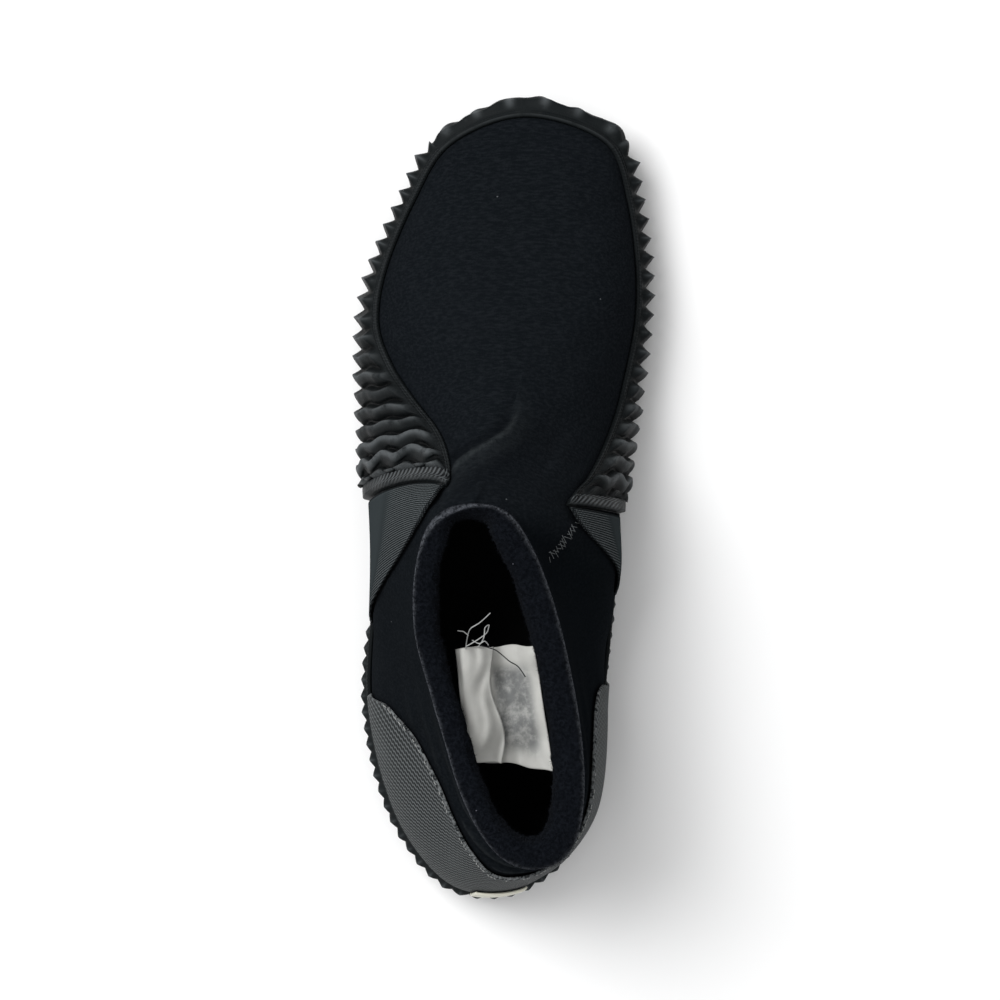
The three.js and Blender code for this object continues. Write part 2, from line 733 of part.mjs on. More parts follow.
const shoe = new THREE.Group();
function addPiece(name, geometry, finish) {
  const mesh = new THREE.Mesh(geometry, finish);
  mesh.name = name;
  shoe.add(mesh);
}

addPiece("outsole", outsoleGeometry(), rubber);
addPiece("insole", insoleGeometry(), foam);
addPiece("upper", upperGeometry(), neoprene);
addPiece("collar_binding", bindingGeometry(), fleece);
addPiece("saddle_outer", saddleGeometry(true), saddleRubber);
addPiece("saddle_inner", saddleGeometry(false), saddleRubber);
addPiece("heel_counter", counterGeometry(), counterMesh);
addPiece("heel_badge", badgeGeometry(), badgeRubber);

// The origin goes to the floor below the middle.
const whole = new THREE.Box3().setFromObject(shoe).getCenter(new THREE.Vector3());
shoe.position.set(-whole.x, -whole.y, 0);

export default shoe;
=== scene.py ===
import math

import bmesh
import bpy
import numpy as np
from mathutils import Matrix, Vector
from mathutils.bvhtree import BVHTree


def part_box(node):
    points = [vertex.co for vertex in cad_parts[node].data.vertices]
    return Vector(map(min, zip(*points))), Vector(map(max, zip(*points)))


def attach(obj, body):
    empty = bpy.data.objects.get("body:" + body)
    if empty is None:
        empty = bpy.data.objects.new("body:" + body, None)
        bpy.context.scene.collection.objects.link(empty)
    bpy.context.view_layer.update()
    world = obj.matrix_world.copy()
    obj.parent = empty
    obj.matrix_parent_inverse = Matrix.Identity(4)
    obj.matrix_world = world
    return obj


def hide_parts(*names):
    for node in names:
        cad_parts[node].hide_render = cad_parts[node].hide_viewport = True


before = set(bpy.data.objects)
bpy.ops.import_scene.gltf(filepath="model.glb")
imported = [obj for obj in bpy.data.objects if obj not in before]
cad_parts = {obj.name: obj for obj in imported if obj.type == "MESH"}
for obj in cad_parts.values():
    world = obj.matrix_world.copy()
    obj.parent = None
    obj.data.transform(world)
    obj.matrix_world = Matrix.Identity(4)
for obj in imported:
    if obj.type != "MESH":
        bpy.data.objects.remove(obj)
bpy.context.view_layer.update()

# ---------------------------------------------------------------- Studio
# The shoe stands on a white table, under wide and soft light that comes mostly from its outer side.
# The camera hangs a metre over the table, a little to the inner side, and looks down at the one shoe.
camera_place = Vector((0.0511, -0.0022, 1.0))
camera_target = Vector((0.0, 0.0, 0.035))
camera_view_angle = 20.2
table_size = 6.0
table_white = (0.9, 0.9, 0.9, 1.0)


def node(tree, kind, inputs=None, **settings):
    """Adds a shader node. An input is a value, or the socket that feeds it."""
    made = tree.nodes.new(kind)
    for key, value in settings.items():
        setattr(made, key, value)
    for name, value in (inputs or {}).items():
        if isinstance(value, bpy.types.NodeSocket):
            tree.links.new(value, made.inputs[name])
        else:
            made.inputs[name].default_value = value
    return made


def sums(tree, operation, a, b=0.0, c=0.5):
    return node(tree, "ShaderNodeMath", {0: a, 1: b, 2: c}, operation=operation).outputs[0]


def times(tree, a, *factors):
    for b in factors:
        a = sums(tree, "MULTIPLY", a, b)
    return a


def ramp(tree, value, low, high, out_low=0.0, out_high=1.0):
    inputs = {0: value, 1: low, 2: high, 3: out_low, 4: out_high}
    return node(tree, "ShaderNodeMapRange", inputs, interpolation_type="SMOOTHSTEP").outputs[0]


def new_material(name, **surface):
    """A material with one Principled surface, whose plain sockets are set by name."""
    made = bpy.data.materials.new(name)
    made.use_nodes = True
    made.node_tree.nodes.clear()
    shader = node(made.node_tree, "ShaderNodeBsdfPrincipled", surface)
    output = node(made.node_tree, "ShaderNodeOutputMaterial")
    made.node_tree.links.new(shader.outputs[0], output.inputs[0])
    return made, made.node_tree, shader


def stand(name, data):
    """Puts a mesh, a lamp or a camera into the scene."""
    made = bpy.data.objects.new(name, data)
    bpy.context.scene.collection.objects.link(made)
    return made


camera = stand("camera", bpy.data.cameras.new("camera"))
camera.data.sensor_width = 36
camera.data.lens = 18 / math.tan(math.radians(camera_view_angle / 2))
camera.location = camera_place
camera_back = (camera_place - camera_target).normalized()
camera_right = Vector((0, 1, 0)).cross(camera_back).normalized()
camera_axes = Matrix((camera_right, camera_back.cross(camera_right), camera_back)).transposed()
camera.rotation_euler = camera_axes.to_euler()
camera.data.clip_start, camera.data.clip_end = 0.01, 20
bpy.context.scene.camera = camera
bpy.context.scene.view_settings.view_transform = "Standard"

table_finish, table_tree, table_shader = new_material("table_white", Roughness=0.7)
table_grain = node(table_tree, "ShaderNodeTexNoise", {"Scale": 3.0})
table_tone = node(table_tree, "ShaderNodeMix", {"Factor": table_grain.outputs[0]}, data_type="RGBA")
table_tone.inputs[6].default_value = table_white
table_tone.inputs[7].default_value = (0.88, 0.885, 0.89, 1.0)
table_tree.links.new(table_tone.outputs[2], table_shader.inputs["Base Color"])
table_form = bmesh.new()
bmesh.ops.create_grid(table_form, x_segments=1, y_segments=1, size=table_size / 2)
table_mesh = bpy.data.meshes.new("table")
table_form.to_mesh(table_mesh)
table_form.free()
table_mesh.materials.append(table_finish)
table = stand("table", table_mesh)


def soft_box(name, place, width, power):
    """A square area light that faces the shoe."""
    lamp = bpy.data.lights.new(name, "AREA")
    lamp.size, lamp.energy = width, power
    made = stand(name, lamp)
    made.location = place
    made.rotation_euler = (Vector((0, 0, 0.04)) - Vector(place)).to_track_quat("-Z", "Y").to_euler()


soft_box("window", (-0.9, 0.75, 1.8), 1.2, 36)
soft_box("fill", (1.4, -0.9, 1.6), 1.6, 2)
sky = bpy.data.worlds.new("studio")
sky.use_nodes = True
sky_tree = sky.node_tree
sky_ball = node(sky_tree, "ShaderNodeSeparateXYZ", {0: node(sky_tree, "ShaderNodeTexCoord").outputs["Generated"]})
sky_overhead = ramp(sky_tree, sky_ball.outputs[2], 0.1, 0.95, 0.25, 1.02)
sky_outer_side = ramp(sky_tree, sky_ball.outputs[0], -0.3, 0.8, 1.0, 0.6)
sky_light = times(sky_tree, sky_overhead, sky_outer_side)
sky_tree.links.new(sky_light, sky_tree.nodes["Background"].inputs["Strength"])
sky_tree.nodes["Background"].inputs["Color"].default_value = (1.0, 1.0, 1.0, 1.0)
bpy.context.scene.world = sky

# ---------------------------------------------------------------- Upper
# A bootie of 3 mm neoprene with a knitted face on both sides, sewn flat at the ankle.
# It is pulled over the last, so its outer face is the last's own form, in millimetres, toe to +Y.
last_length = 273
ball_width = 96
toe_height = 39
ball_height = 51
instep_height = 67
toe_spring = 9
arch_lift = 3
heel_bevel = 2.5
collar_length = 117
collar_width = 45
collar_back = 96
collar_side = 91
collar_front = 99
collar_middle = (5, -60.5)
collar_turn = math.radians(11.5)
collar_squareness = 2.4
collar_bow = 3
collar_bow_rear = -0.5
collar_lean = math.radians(6)
crest_lag = 3
crest_bow_outer = 7
crest_bow_inner = 2
gap = 0.3
neoprene_wall = 3
sole_thickness = 7.5
lug_depth = 3
toe_centre_at = 0.868
toe_centre_x = 0.065


def rows_of(names, *rows):
    """A short table as named columns."""
    return {name: np.array(column, float) for name, column in zip(names.split(), zip(*rows))}


# Half widths and swells are shares of the ball width. round is the exponent of the arch over the foot.
sections = rows_of(
    "at outer inner outer_swell inner_swell outer_round inner_round",
    (0.008, 0.18, 0.06, 0, 0, 1, 1),
    (0.04, 0.288, 0.18, 0, 0.02, 1, 1),
    (0.11, 0.405, 0.272, 0, 0.06, 1, 1),
    (0.24, 0.48, 0.31, 0.01, 0.075, 1.1, 1),
    (0.4, 0.432, 0.36, 0.05, 0.085, 1.4, 1),
    (0.52, 0.467, 0.41, 0.035, 0.02, 1.6, 1.15),
    (0.64, 0.503, 0.465, 0, 0, 1.3, 1.05),
    (0.76, 0.483, 0.5, 0, 0, 0.92, 0.8),
    (0.88, 0.348, 0.468, 0, 0, 0.86, 0.8),
    (0.96, 0.21, 0.4, 0, 0, 0.84, 0.84),
)
heel_tip_x = -0.065
toe_tip_x = 0.085
top_line = rows_of(
    "at top",
    (0, collar_back),
    (0.12, collar_back),
    (0.28, collar_side),
    (0.4, 0.5 * (collar_side + collar_front)),
    (0.492, collar_front),
    (0.525, 0.35 * instep_height + 0.65 * collar_front),
    (0.56, 0.74 * instep_height + 0.26 * collar_front),
    (0.6, 0.96 * instep_height),
    (0.65, 0.6 * ball_height + 0.4 * instep_height),
    (0.72, ball_height),
    (0.8, 0.5 * (ball_height + toe_height)),
    (0.87, toe_height),
    (1, 0.76 * toe_height),
)


def mix(a, b, share):
    return a + (b - a) * share


def ease(x):
    c = np.clip(x, 0, 1)
    return c * c * (3 - 2 * c)


def length_y(at):
    return (at - 0.5) * last_length


def share_of(y):
    return y / last_length + 0.5


def read(rows, key, column, place):
    """One column of a table at places along its key, smoothly and without overshoot."""
    x, y = rows[key], rows[column]
    place = np.clip(place, x[0], x[-1])
    i = np.clip(np.searchsorted(x, place) - 1, 0, len(x) - 2)
    slope = np.diff(y) / np.diff(x)
    before, after = slope[:-1], slope[1:]
    tangent = np.zeros(len(x))
    same = before * after > 0
    tangent[1:-1][same] = (2 * before * after)[same] / (before + after)[same]
    span = x[i + 1] - x[i]
    s = (place - x[i]) / span
    return (
        (2 * s**3 - 3 * s**2 + 1) * y[i]
        + (s**3 - 2 * s**2 + s) * span * tangent[i]
        + (3 * s**2 - 2 * s**3) * y[i + 1]
        + (s**3 - s**2) * span * tangent[i + 1]
    )


def for_side(outer, rows, column, at):
    """A pair of columns, read for the side of the shoe that a place is on."""
    return np.where(outer, read(rows, "at", f"outer{column}", at), read(rows, "at", f"inner{column}", at))


def top_at(y):
    return read(top_line, "at", "top", share_of(y))


def bell(x, middle, width):
    return np.exp(-(((x - middle) / width) ** 2))


def closed_curve(corners, count):
    """Evenly spaced points on a closed centripetal curve through the corners."""

    def point(t):
        place = t * len(corners)
        i = np.floor(place).astype(int)
        s = (place - i)[:, None]
        p0, p1, p2, p3 = (corners[(i + k) % len(corners)] for k in (-1, 0, 1, 2))
        d0, d1, d2 = (np.linalg.norm(b - a, axis=1)[:, None] ** 0.5 for a, b in ((p0, p1), (p1, p2), (p2, p3)))
        t1 = ((p1 - p0) / d0 - (p2 - p0) / (d0 + d1) + (p2 - p1) / d1) * d1
        t2 = ((p2 - p1) / d1 - (p3 - p1) / (d1 + d2) + (p3 - p2) / d2) * d1
        return p1 + t1 * s + (3 * (p2 - p1) - 2 * t1 - t2) * s**2 + (2 * (p1 - p2) + t1 + t2) * s**3

    even = np.linspace(0, 1, count + 1)
    path = point(even)
    lengths = np.concatenate([[0], np.cumsum(np.linalg.norm(np.diff(path, axis=0), axis=1))])
    return point(np.interp(even * lengths[-1], lengths, even))


# The feather line, where the upper meets the sole, from the heel tip round the outer side to the toe and back
feather_steps = 1600
feather_corners = [(heel_tip_x * ball_width, length_y(0))]
feather_corners += [(-w * ball_width, length_y(at)) for at, w in zip(sections["at"], sections["outer"])]
feather_corners += [(toe_tip_x * ball_width, length_y(1))]
feather_corners += [(w * ball_width, length_y(at)) for at, w in zip(sections["at"][::-1], sections["inner"][::-1])]
feather = closed_curve(np.array(feather_corners), feather_steps)
feather_length = np.linalg.norm(np.diff(feather, axis=0), axis=1).sum()
toe_turn = np.argmax(feather[:, 1]) / feather_steps


def wrap(turn):
    return turn - np.floor(turn)


def is_outer(turn):
    return wrap(turn) < toe_turn


def side_share(turn):
    return np.where(is_outer(turn), wrap(turn) / toe_turn, (1 - wrap(turn)) / (1 - toe_turn))


def turn_of(outer_side, share):
    return np.where(outer_side, share * toe_turn, 1 - share * (1 - toe_turn))


def feather_point(turn):
    place = wrap(turn) * feather_steps
    steps = np.arange(feather_steps + 1)
    return np.stack([np.interp(place, steps, feather[:, 0]), np.interp(place, steps, feather[:, 1])], -1)


def unit(v):
    return v / np.maximum(np.linalg.norm(v, axis=-1, keepdims=True), 1e-12)


def outward(turn):
    step = 2 / (feather_steps + 1)
    along = unit(feather_point(turn + step) - feather_point(turn - step))
    return np.stack([-along[..., 1], along[..., 0]], -1)


def mean_y(share):
    return 0.5 * (feather_point(turn_of(True, share))[..., 1] + feather_point(turn_of(False, share))[..., 1])


def found(test):
    """The place between 0 and 1 up to which a test holds."""
    low, high = 0.0, 1.0
    for _ in range(40):
        middle = 0.5 * (low + high)
        low, high = (middle, high) if test(middle) else (low, middle)
    return low


def turn_at(outer_side, at):
    share = found(lambda s: feather_point(turn_of(outer_side, s))[1] < length_y(at))
    return float(turn_of(outer_side, share))


def turned(x, y):
    cos, sin = math.cos(collar_turn), math.sin(collar_turn)
    return np.stack([collar_middle[0] + x * cos - y * sin, collar_middle[1] + x * sin + y * cos], -1)


collar_tip = turned(0, collar_length / 2)
ring_share = found(lambda s: mean_y(s) < collar_tip[1] + crest_lag)
toe_centre = np.array([toe_centre_x * ball_width, length_y(toe_centre_at)])
spine_softness = 0.045 * last_length


def soft_below(y):
    return toe_centre[1] - spine_softness * np.log(1 + np.exp((toe_centre[1] - y) / spine_softness))


def crest_point(turn):
    """The collar's ring behind, and the foot's ridge from the collar's front to the toe's centre."""
    share = side_share(turn)
    angle = np.pi * np.minimum(share / ring_share, 1)
    power = 2 / collar_squareness
    across = collar_width / 2 * np.abs(np.sin(angle)) ** power
    along = -np.sign(np.cos(angle)) * np.abs(np.cos(angle)) ** power
    outer_bow = mix(collar_bow_rear, collar_bow, ease((angle / np.pi - 0.42) / 0.2))
    bow = np.where(is_outer(turn), outer_bow, collar_bow) * np.sin(angle)
    ring = turned(np.where(is_outer(turn), -across, across) - bow, collar_length / 2 * along)
    start, end = soft_below(mean_y(ring_share)), soft_below(mean_y(1.0))
    forward = np.maximum((soft_below(mean_y(share)) - start) / (end - start), 0)
    ridge = mix(collar_tip, toe_centre, np.stack([np.sqrt(forward), forward], -1))
    return np.where((share < ring_share)[..., None], ring, ridge)


def lift(y):
    """How far the sole's underside stands off the floor."""
    at = share_of(y)
    toe = toe_spring * np.clip((at - 0.8) / 0.2, 0, 1) ** 2
    arch = arch_lift * ease((at - 0.32) / 0.1) * ease((0.6 - at) / 0.1)
    return toe + arch + heel_bevel * np.clip((0.07 - at) / 0.07, 0, 1) ** 2


def skin(turn, climb):
    """The last's face. climb runs from the feather line, 0, to the crest, 1."""
    turn, climb = np.broadcast_arrays(np.asarray(turn, float), np.asarray(climb, float))
    foot, crest, outer = feather_point(turn), crest_point(turn), is_outer(turn)
    at = share_of(foot[..., 1])
    rounding = for_side(outer, sections, "_round", at)
    swell = ball_width * for_side(outer, sections, "_swell", at)
    wall = ease((1 - side_share(turn) / ring_share) / 0.4)
    phi = np.clip(climb, 0, 1) * np.pi / 2
    lean = mix(1 - np.maximum(np.cos(phi), 0) ** rounding, ease(climb), wall)
    rise = mix(np.sin(phi) ** rounding, climb, wall)
    lean, rise = np.where(climb >= 1, 1, lean), np.where(climb >= 1, 1, rise)
    plan = mix(foot, crest, lean[..., None]) + outward(turn) * (swell * 6.75 * climb * (1 - climb) ** 2)[..., None]
    near = bell(side_share(turn), ring_share, 0.11)
    plan[..., 1] += np.where(outer, crest_bow_outer, crest_bow_inner) * near * 6.75 * climb**2 * (1 - climb)
    base = lug_depth + sole_thickness + gap + lift(foot[..., 1])
    height = base + (top_at(plan[..., 1]) - base) * rise
    return np.concatenate([plan, height[..., None]], -1)


def skin_normal(turn, climb):
    c = np.clip(climb, 0.004, 0.985)
    along = skin(turn + 0.002, c) - skin(turn - 0.002, c)
    up = skin(turn, c + 0.01) - skin(turn, np.maximum(c - 0.01, 0))
    return unit(np.cross(up, along))


def crest_normal(turn):
    """The way that the crest faces: up and forward on the ridge, and out with a little lean at the collar."""
    share, crest = side_share(turn), crest_point(turn)
    fall = top_at(crest[..., 1]) - top_at(crest[..., 1] + 4)
    ridge = unit(np.stack([np.zeros_like(fall), fall / 4, np.ones_like(fall)], -1))
    near = np.minimum(share + 0.01, ring_share)
    outer = is_outer(turn)
    along = unit(crest_point(turn_of(outer, near)) - crest_point(turn_of(outer, near - 0.02)))
    side = np.where(outer, 1, -1)
    out = unit(np.stack([-along[..., 1] * side, along[..., 0] * side, np.full_like(fall, math.tan(collar_lean))], -1))
    out = unit(mix(out, ridge, ease((share / ring_share - 0.78) / 0.22)[..., None]))
    return np.where((share >= ring_share)[..., None], ridge, out)


def form_normal(turn, climb):
    return unit(mix(skin_normal(turn, climb), crest_normal(turn), ease((climb - 0.72) / 0.28)[..., None]))


def form_point(turn, climb, offset):
    """A point of the form, moved off its outer face."""
    turn, climb, offset = np.broadcast_arrays(*(np.asarray(v, float) for v in (turn, climb, offset)))
    return skin(turn, climb) + form_normal(turn, climb) * offset[..., None]


def speed_at(turn, climb):
    """Millimetres for each unit of climb."""
    return np.linalg.norm(skin(turn, climb + 0.01) - skin(turn, climb), axis=-1) / 0.01


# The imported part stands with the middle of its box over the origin.
# The footbed's own box tells how far the last was moved.
insole_margin = 1.6
footbed_turns = np.arange(64) / 64
footbed_rim = feather_point(footbed_turns) - outward(footbed_turns) * (neoprene_wall + insole_margin)
footbed_box = np.array([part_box("insole")[k][:2] for k in (0, 1)]) * 1000
shift = footbed_box.mean(0) - (footbed_rim.min(0) + footbed_rim.max(0)) / 2


def woven(name, points, across=None, up=None, marks=None):
    """A grid of quads whose vertices are carried to rows of points in millimetres. across and up are the places of
    its UV map in millimetres, and marks are values kept on its vertices."""
    rows, columns = points.shape[0] - 1, points.shape[1] - 1
    form = bmesh.new()
    bmesh.ops.create_grid(form, x_segments=columns, y_segments=rows, size=0.5)
    mesh = bpy.data.meshes.new(name)
    form.to_mesh(mesh)
    form.free()
    flat = np.empty(len(mesh.vertices) * 3)
    mesh.vertices.foreach_get("co", flat)
    i = np.rint((flat[0::3] + 0.5) * columns).astype(int)
    j = np.rint((flat[1::3] + 0.5) * rows).astype(int)
    placed = points[j, i].copy()
    placed[:, :2] += shift
    mesh.vertices.foreach_set("co", (placed / 1000).ravel())
    corner = np.empty(len(mesh.loops), np.int32)
    mesh.loops.foreach_get("vertex_index", corner)
    if across is not None:
        places = np.stack([across[j, i], up[j, i]], -1)[corner]
        mesh.uv_layers.new(name="surface").data.foreach_set("uv", places.ravel())
    for mark, values in (marks or {}).items():
        mesh.attributes.new(mark, "FLOAT", "POINT").data.foreach_set("value", values[j, i])
    starts = np.empty(len(mesh.polygons), np.int32)
    mesh.polygons.foreach_get("loop_start", starts)
    four = corner[starts[:, None] + np.arange(4)]
    return mesh, j[four].min(1), i[four].min(1)


def finish_piece(name, mesh, drop=None, merge=0.00002, outwards=True, fill=False, more=()):
    """Drops the faces that aren't wanted, merges what falls together, and turns every face outwards."""
    form = bmesh.new()
    form.from_mesh(mesh)
    form.faces.ensure_lookup_table()
    if drop is not None:
        bmesh.ops.delete(form, geom=[form.faces[k] for k in np.nonzero(drop)[0]], context="FACES")
    bmesh.ops.remove_doubles(form, verts=form.verts, dist=merge)
    bmesh.ops.dissolve_degenerate(form, edges=form.edges, dist=merge / 4)
    if fill:
        open_edges = [e for e in form.edges if e.is_boundary]
        bmesh.ops.holes_fill(form, edges=open_edges, sides=0)
        bmesh.ops.triangulate(form, faces=[f for f in form.faces if len(f.verts) > 4])
    for extra in more:
        form.from_mesh(extra)
        bpy.data.meshes.remove(extra)
    if more:
        bmesh.ops.remove_doubles(form, verts=form.verts, dist=merge)
    if outwards:
        bmesh.ops.recalc_face_normals(form, faces=form.faces)
    for face in form.faces:
        face.smooth = True
    form.to_mesh(mesh)
    form.free()
    mesh.name = name
    return stand(name, mesh)


def hand_over(piece, finish, slot, *replaced):
    """Gives a piece its material and ties it to the frame."""
    piece.data.materials.clear()
    piece.data.materials.append(finish)
    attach(piece, "root")
    if replaced:
        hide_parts(*replaced)
    return piece


def around(ring_count, foot_count):
    """Turns from the heel up the outer side to the toe and back down the inner side."""
    ring, foot = np.linspace(0, ring_share, ring_count + 1), np.linspace(ring_share, 1, foot_count + 1)[1:]
    shares = np.concatenate([ring, foot])
    turns = np.concatenate([turn_of(True, shares), turn_of(False, shares[:-1])[::-1]])
    return turns, np.concatenate([shares, shares[:-1][::-1]])


# Where the rubber, the saddles and the counter end on the last, as shares of the climb
rubber_edge = rows_of(
    "at outer inner",
    (0, 0.13, 0.13),
    (0.3, 0.12, 0.12),
    (0.45, 0.09, 0.09),
    (0.475, 0.8, 0.57),
    (0.5, 0.79, 0.52),
    (0.52, 0.75, 0.45),
    (0.57, 0.65, 0.34),
    (0.62, 0.52, 0.26),
    (0.67, 0.4, 0.22),
    (0.73, 0.3, 0.19),
    (0.86, 0.27, 0.2),
    (0.94, 0.3, 0.27),
    (1, 0.34, 0.34),
)
saddle_edge = rows_of(
    "along outer inner",
    (0, 0.79, 0.56),
    (0.2, 0.82, 0.55),
    (0.4, 0.82, 0.5),
    (0.55, 0.78, 0.41),
    (0.7, 0.68, 0.28),
    (0.85, 0.46, 0.19),
    (1, 0.12, 0.12),
)
counter_edge = rows_of("along climb", (0, 0.52), (0.3, 0.61), (0.6, 0.66), (0.8, 0.58), (0.93, 0.4), (1, 0.2))
band_outer_at = 0.498
band_inner_at = 0.482
saddle_outer_end = 0.336
saddle_inner_end = 0.376
counter_outer_end = 0.246
counter_inner_end = 0.26


def edge_climb(turn, low=False):
    """The climb of the rubber's top edge. low is for what lies just behind a band."""
    at = share_of(feather_point(turn)[..., 1])
    outer = is_outer(turn)
    behind_band = np.logical_or(low, at < np.where(outer, band_outer_at, band_inner_at) - 1e-4)
    at = np.where(behind_band, np.minimum(at, 0.45), np.maximum(at, 0.475))
    return for_side(outer, rubber_edge, "", at)


def above_rubber(turn):
    edge = edge_climb(turn, True)
    return edge + 1.5 * gap / speed_at(turn, edge)


saddle_step = 3 * gap / feather_length
saddle_ends = {
    True: (turn_at(True, band_outer_at) - saddle_step, turn_at(True, saddle_outer_end)),
    False: (turn_at(False, band_inner_at) + saddle_step, turn_at(False, saddle_inner_end)),
}
counter_ends = (turn_at(False, counter_inner_end) - 1, turn_at(True, counter_outer_end))


def saddle_climb(turn, outer_side):
    start, end = saddle_ends[outer_side]
    return read(saddle_edge, "along", "outer" if outer_side else "inner", (turn - start) / (end - start))


def counter_climb(turn):
    t = np.where(turn > 0.5, turn - 1, turn)
    return read(counter_edge, "along", "climb", t / np.where(t > 0, counter_ends[1], counter_ends[0]))


def covered_climb(turn):
    """How high the rubber, a saddle or the counter covers the bootie."""
    t = np.where(turn > 0.5, turn - 1, turn)
    cover = edge_climb(turn)
    for outer_side, (start, end) in saddle_ends.items():
        low, high = min(start, end), max(start, end)
        cover = np.where((turn > low) & (turn < high), np.maximum(cover, saddle_climb(turn, outer_side)), cover)
    on_counter = (t > counter_ends[0]) & (t < counter_ends[1])
    return np.where(on_counter, np.maximum(cover, counter_climb(turn)), cover)


def beside(points, line):
    """The distance in plan from a line, positive on its left hand, and a share that fades towards its ends."""
    best = np.full(points.shape[:-1], 1e9)
    signed, ends = np.zeros_like(best), np.ones_like(best)
    line = np.array(line, float)
    for k, (a, b) in enumerate(zip(line[:-1], line[1:])):
        along = b - a
        rel = points[..., :2] - a
        inside = np.clip((rel @ along) / (along @ along), 0, 1)
        distance = np.linalg.norm(rel - inside[..., None] * along, axis=-1)
        side = np.sign(along[0] * rel[..., 1] - along[1] * rel[..., 0])
        nearer = distance < best
        best = np.where(nearer, distance, best)
        signed = np.where(nearer, distance * side, signed)
        ends = np.where(nearer, np.sin(np.pi * np.clip((k + inside) / (len(line) - 1), 0.03, 0.97)), ends)
    return signed, np.sqrt(ends)


def fold(points, line, depth, width, rise, reach):
    """A soft trough along a line in plan. On its left hand the cloth rises steeply and sinks slowly again."""
    signed, ends = beside(points, line)
    back = np.maximum(signed, 0)
    hump = (1 - bell(back, 0, width)) * np.exp(-back / reach)
    return ends * (rise * hump - depth * bell(signed, 0, np.where(signed > 0, width, 2.5 * width)))


def smoothed(points, weight, rounds):
    """Evens out neighbours along the rows where the weight says so."""
    for _ in range(rounds):
        points = mix(points, 0.5 * (np.roll(points, 1, 1) + np.roll(points, -1, 1)), weight[..., None])
    return points


def ripple(points, seed, count, short, long, size):
    """Even, soft unevenness: a sum of waves in all directions, in millimetres."""
    draw = np.random.default_rng(seed)
    total = np.zeros(points.shape[:-1])
    for _ in range(count):
        direction = draw.normal(size=3)
        direction *= 2 * np.pi / draw.uniform(short, long) / np.linalg.norm(direction)
        total += np.sin(points @ direction + draw.uniform(0, 6.28))
    return total * size / math.sqrt(count)


upper_turns, upper_shares = around(120, 200)
outer_climbs = np.linspace(0, 1, 111)
inner_climbs = np.linspace(1, 0, 41)
T, C = np.meshgrid(upper_turns, outer_climbs)
outer_face = skin(T, C)
outer_normal = form_normal(T, C)
S = np.broadcast_to(upper_shares, T.shape)
on_outer_side = is_outer(T)
height = outer_face[..., 2]
free = (C - covered_climb(T)) * speed_at(T, C)
# The instep creases where the ankle bends over the vamp, and the ankle's front swells behind the crease
instep_crease = [(5.5, 30), (4.5, 26), (2, 22.5), (-3, 19), (-8, 16.5), (-13, 12.5), (-18, 6), (-21, -2)]
sculpt = fold(outer_face, instep_crease, depth=1.4, width=2.0, rise=5.0, reach=9)
sculpt += fold(outer_face, [(22, 24), (19, 15), (15, 7)], depth=0.5, width=2.4, rise=0.9, reach=7)
sculpt += fold(outer_face, [(-2, 44), (6, 46), (16, 44)], depth=0.3, width=5, rise=0.3, reach=12)
# The back buckles under the collar
slant = height + np.where(on_outer_side, 1, -1) * 14 * S
behind = ease((0.3 - S) / 0.22) * ease((92 - height) / 6)
buckle = np.sin(slant * 2 * np.pi / 10 + 2.2 * np.sin(7 * S))
sculpt += behind * (1.2 * buckle - 0.6)
# Soft waves at the ankle's sides
waves = ease((S - 0.25) / 0.15) * ease((0.62 - S) / 0.15) * ease((1 - C) / 0.15)
sculpt += np.where(on_outer_side, 0.4, 1) * waves * 0.6 * np.sin(outer_face[..., 1] * 2 * np.pi / 31 + height * 0.12)
sculpt += ripple(outer_face, 11, 26, 14, 46, 0.32)
sculpt = np.where(S < ring_share, sculpt * ease((1 - C) / 0.06), sculpt)
sculpt = sculpt * ease(free / 5)
near_front = bell(S, ring_share, 0.035) * ease((0.985 - C) / 0.06)
outer_face = smoothed(outer_face, 0.9 * near_front, 60) + outer_normal * sculpt[..., None]
TI, CI = np.meshgrid(upper_turns, inner_climbs)
inner_face = form_point(TI, CI, -neoprene_wall)
inner_waves = ripple(inner_face, 5, 20, 5, 20, 0.25) * ease((1 - CI) / 0.1)
inner_face = inner_face + form_normal(TI, CI) * inner_waves[..., None]
upper_points = np.concatenate([outer_face, inner_face, outer_face[:1]])
step_up = np.linalg.norm(np.diff(skin(T, C), axis=0), axis=-1)
upper_up = np.concatenate([np.zeros((1, T.shape[1])), np.cumsum(step_up, axis=0)])
upper_up = np.concatenate([upper_up, upper_up[-1] + 5 + 70 * (1 - CI), upper_up[:1]])
upper_across = np.broadcast_to(upper_turns * feather_length, upper_up.shape)
lining = np.concatenate([np.zeros(T.shape), np.ones(TI.shape), np.zeros((1, T.shape[1]))])
crease_side, crease_ends = beside(outer_face, instep_crease)
# Painted highlight with some worn pile: paler along the crease's ridge on its lit side, and on the crests of the back's
# buckles.
ridge_highlight_wear = crease_ends * (bell(crease_side, 1.7, 1.0) + 0.3 * bell(crease_side, 4.6, 2.6)) * (free > 1)
ridge_highlight_wear = np.maximum(ridge_highlight_wear, 0.6 * behind * ease((buckle - 0.55) / 0.4) * (free > 3))
# Painted shade: darker in the trough of the instep crease, and in a wider band behind the swell above it.
crease_shade = crease_ends * (bell(crease_side, -1.2, 1.8) + 0.6 * bell(crease_side, 9, 4.5)) * (free > 0)
ridge_highlight_wear, crease_shade = (np.concatenate([m, np.zeros(TI.shape), m[:1]]) for m in (ridge_highlight_wear, crease_shade))
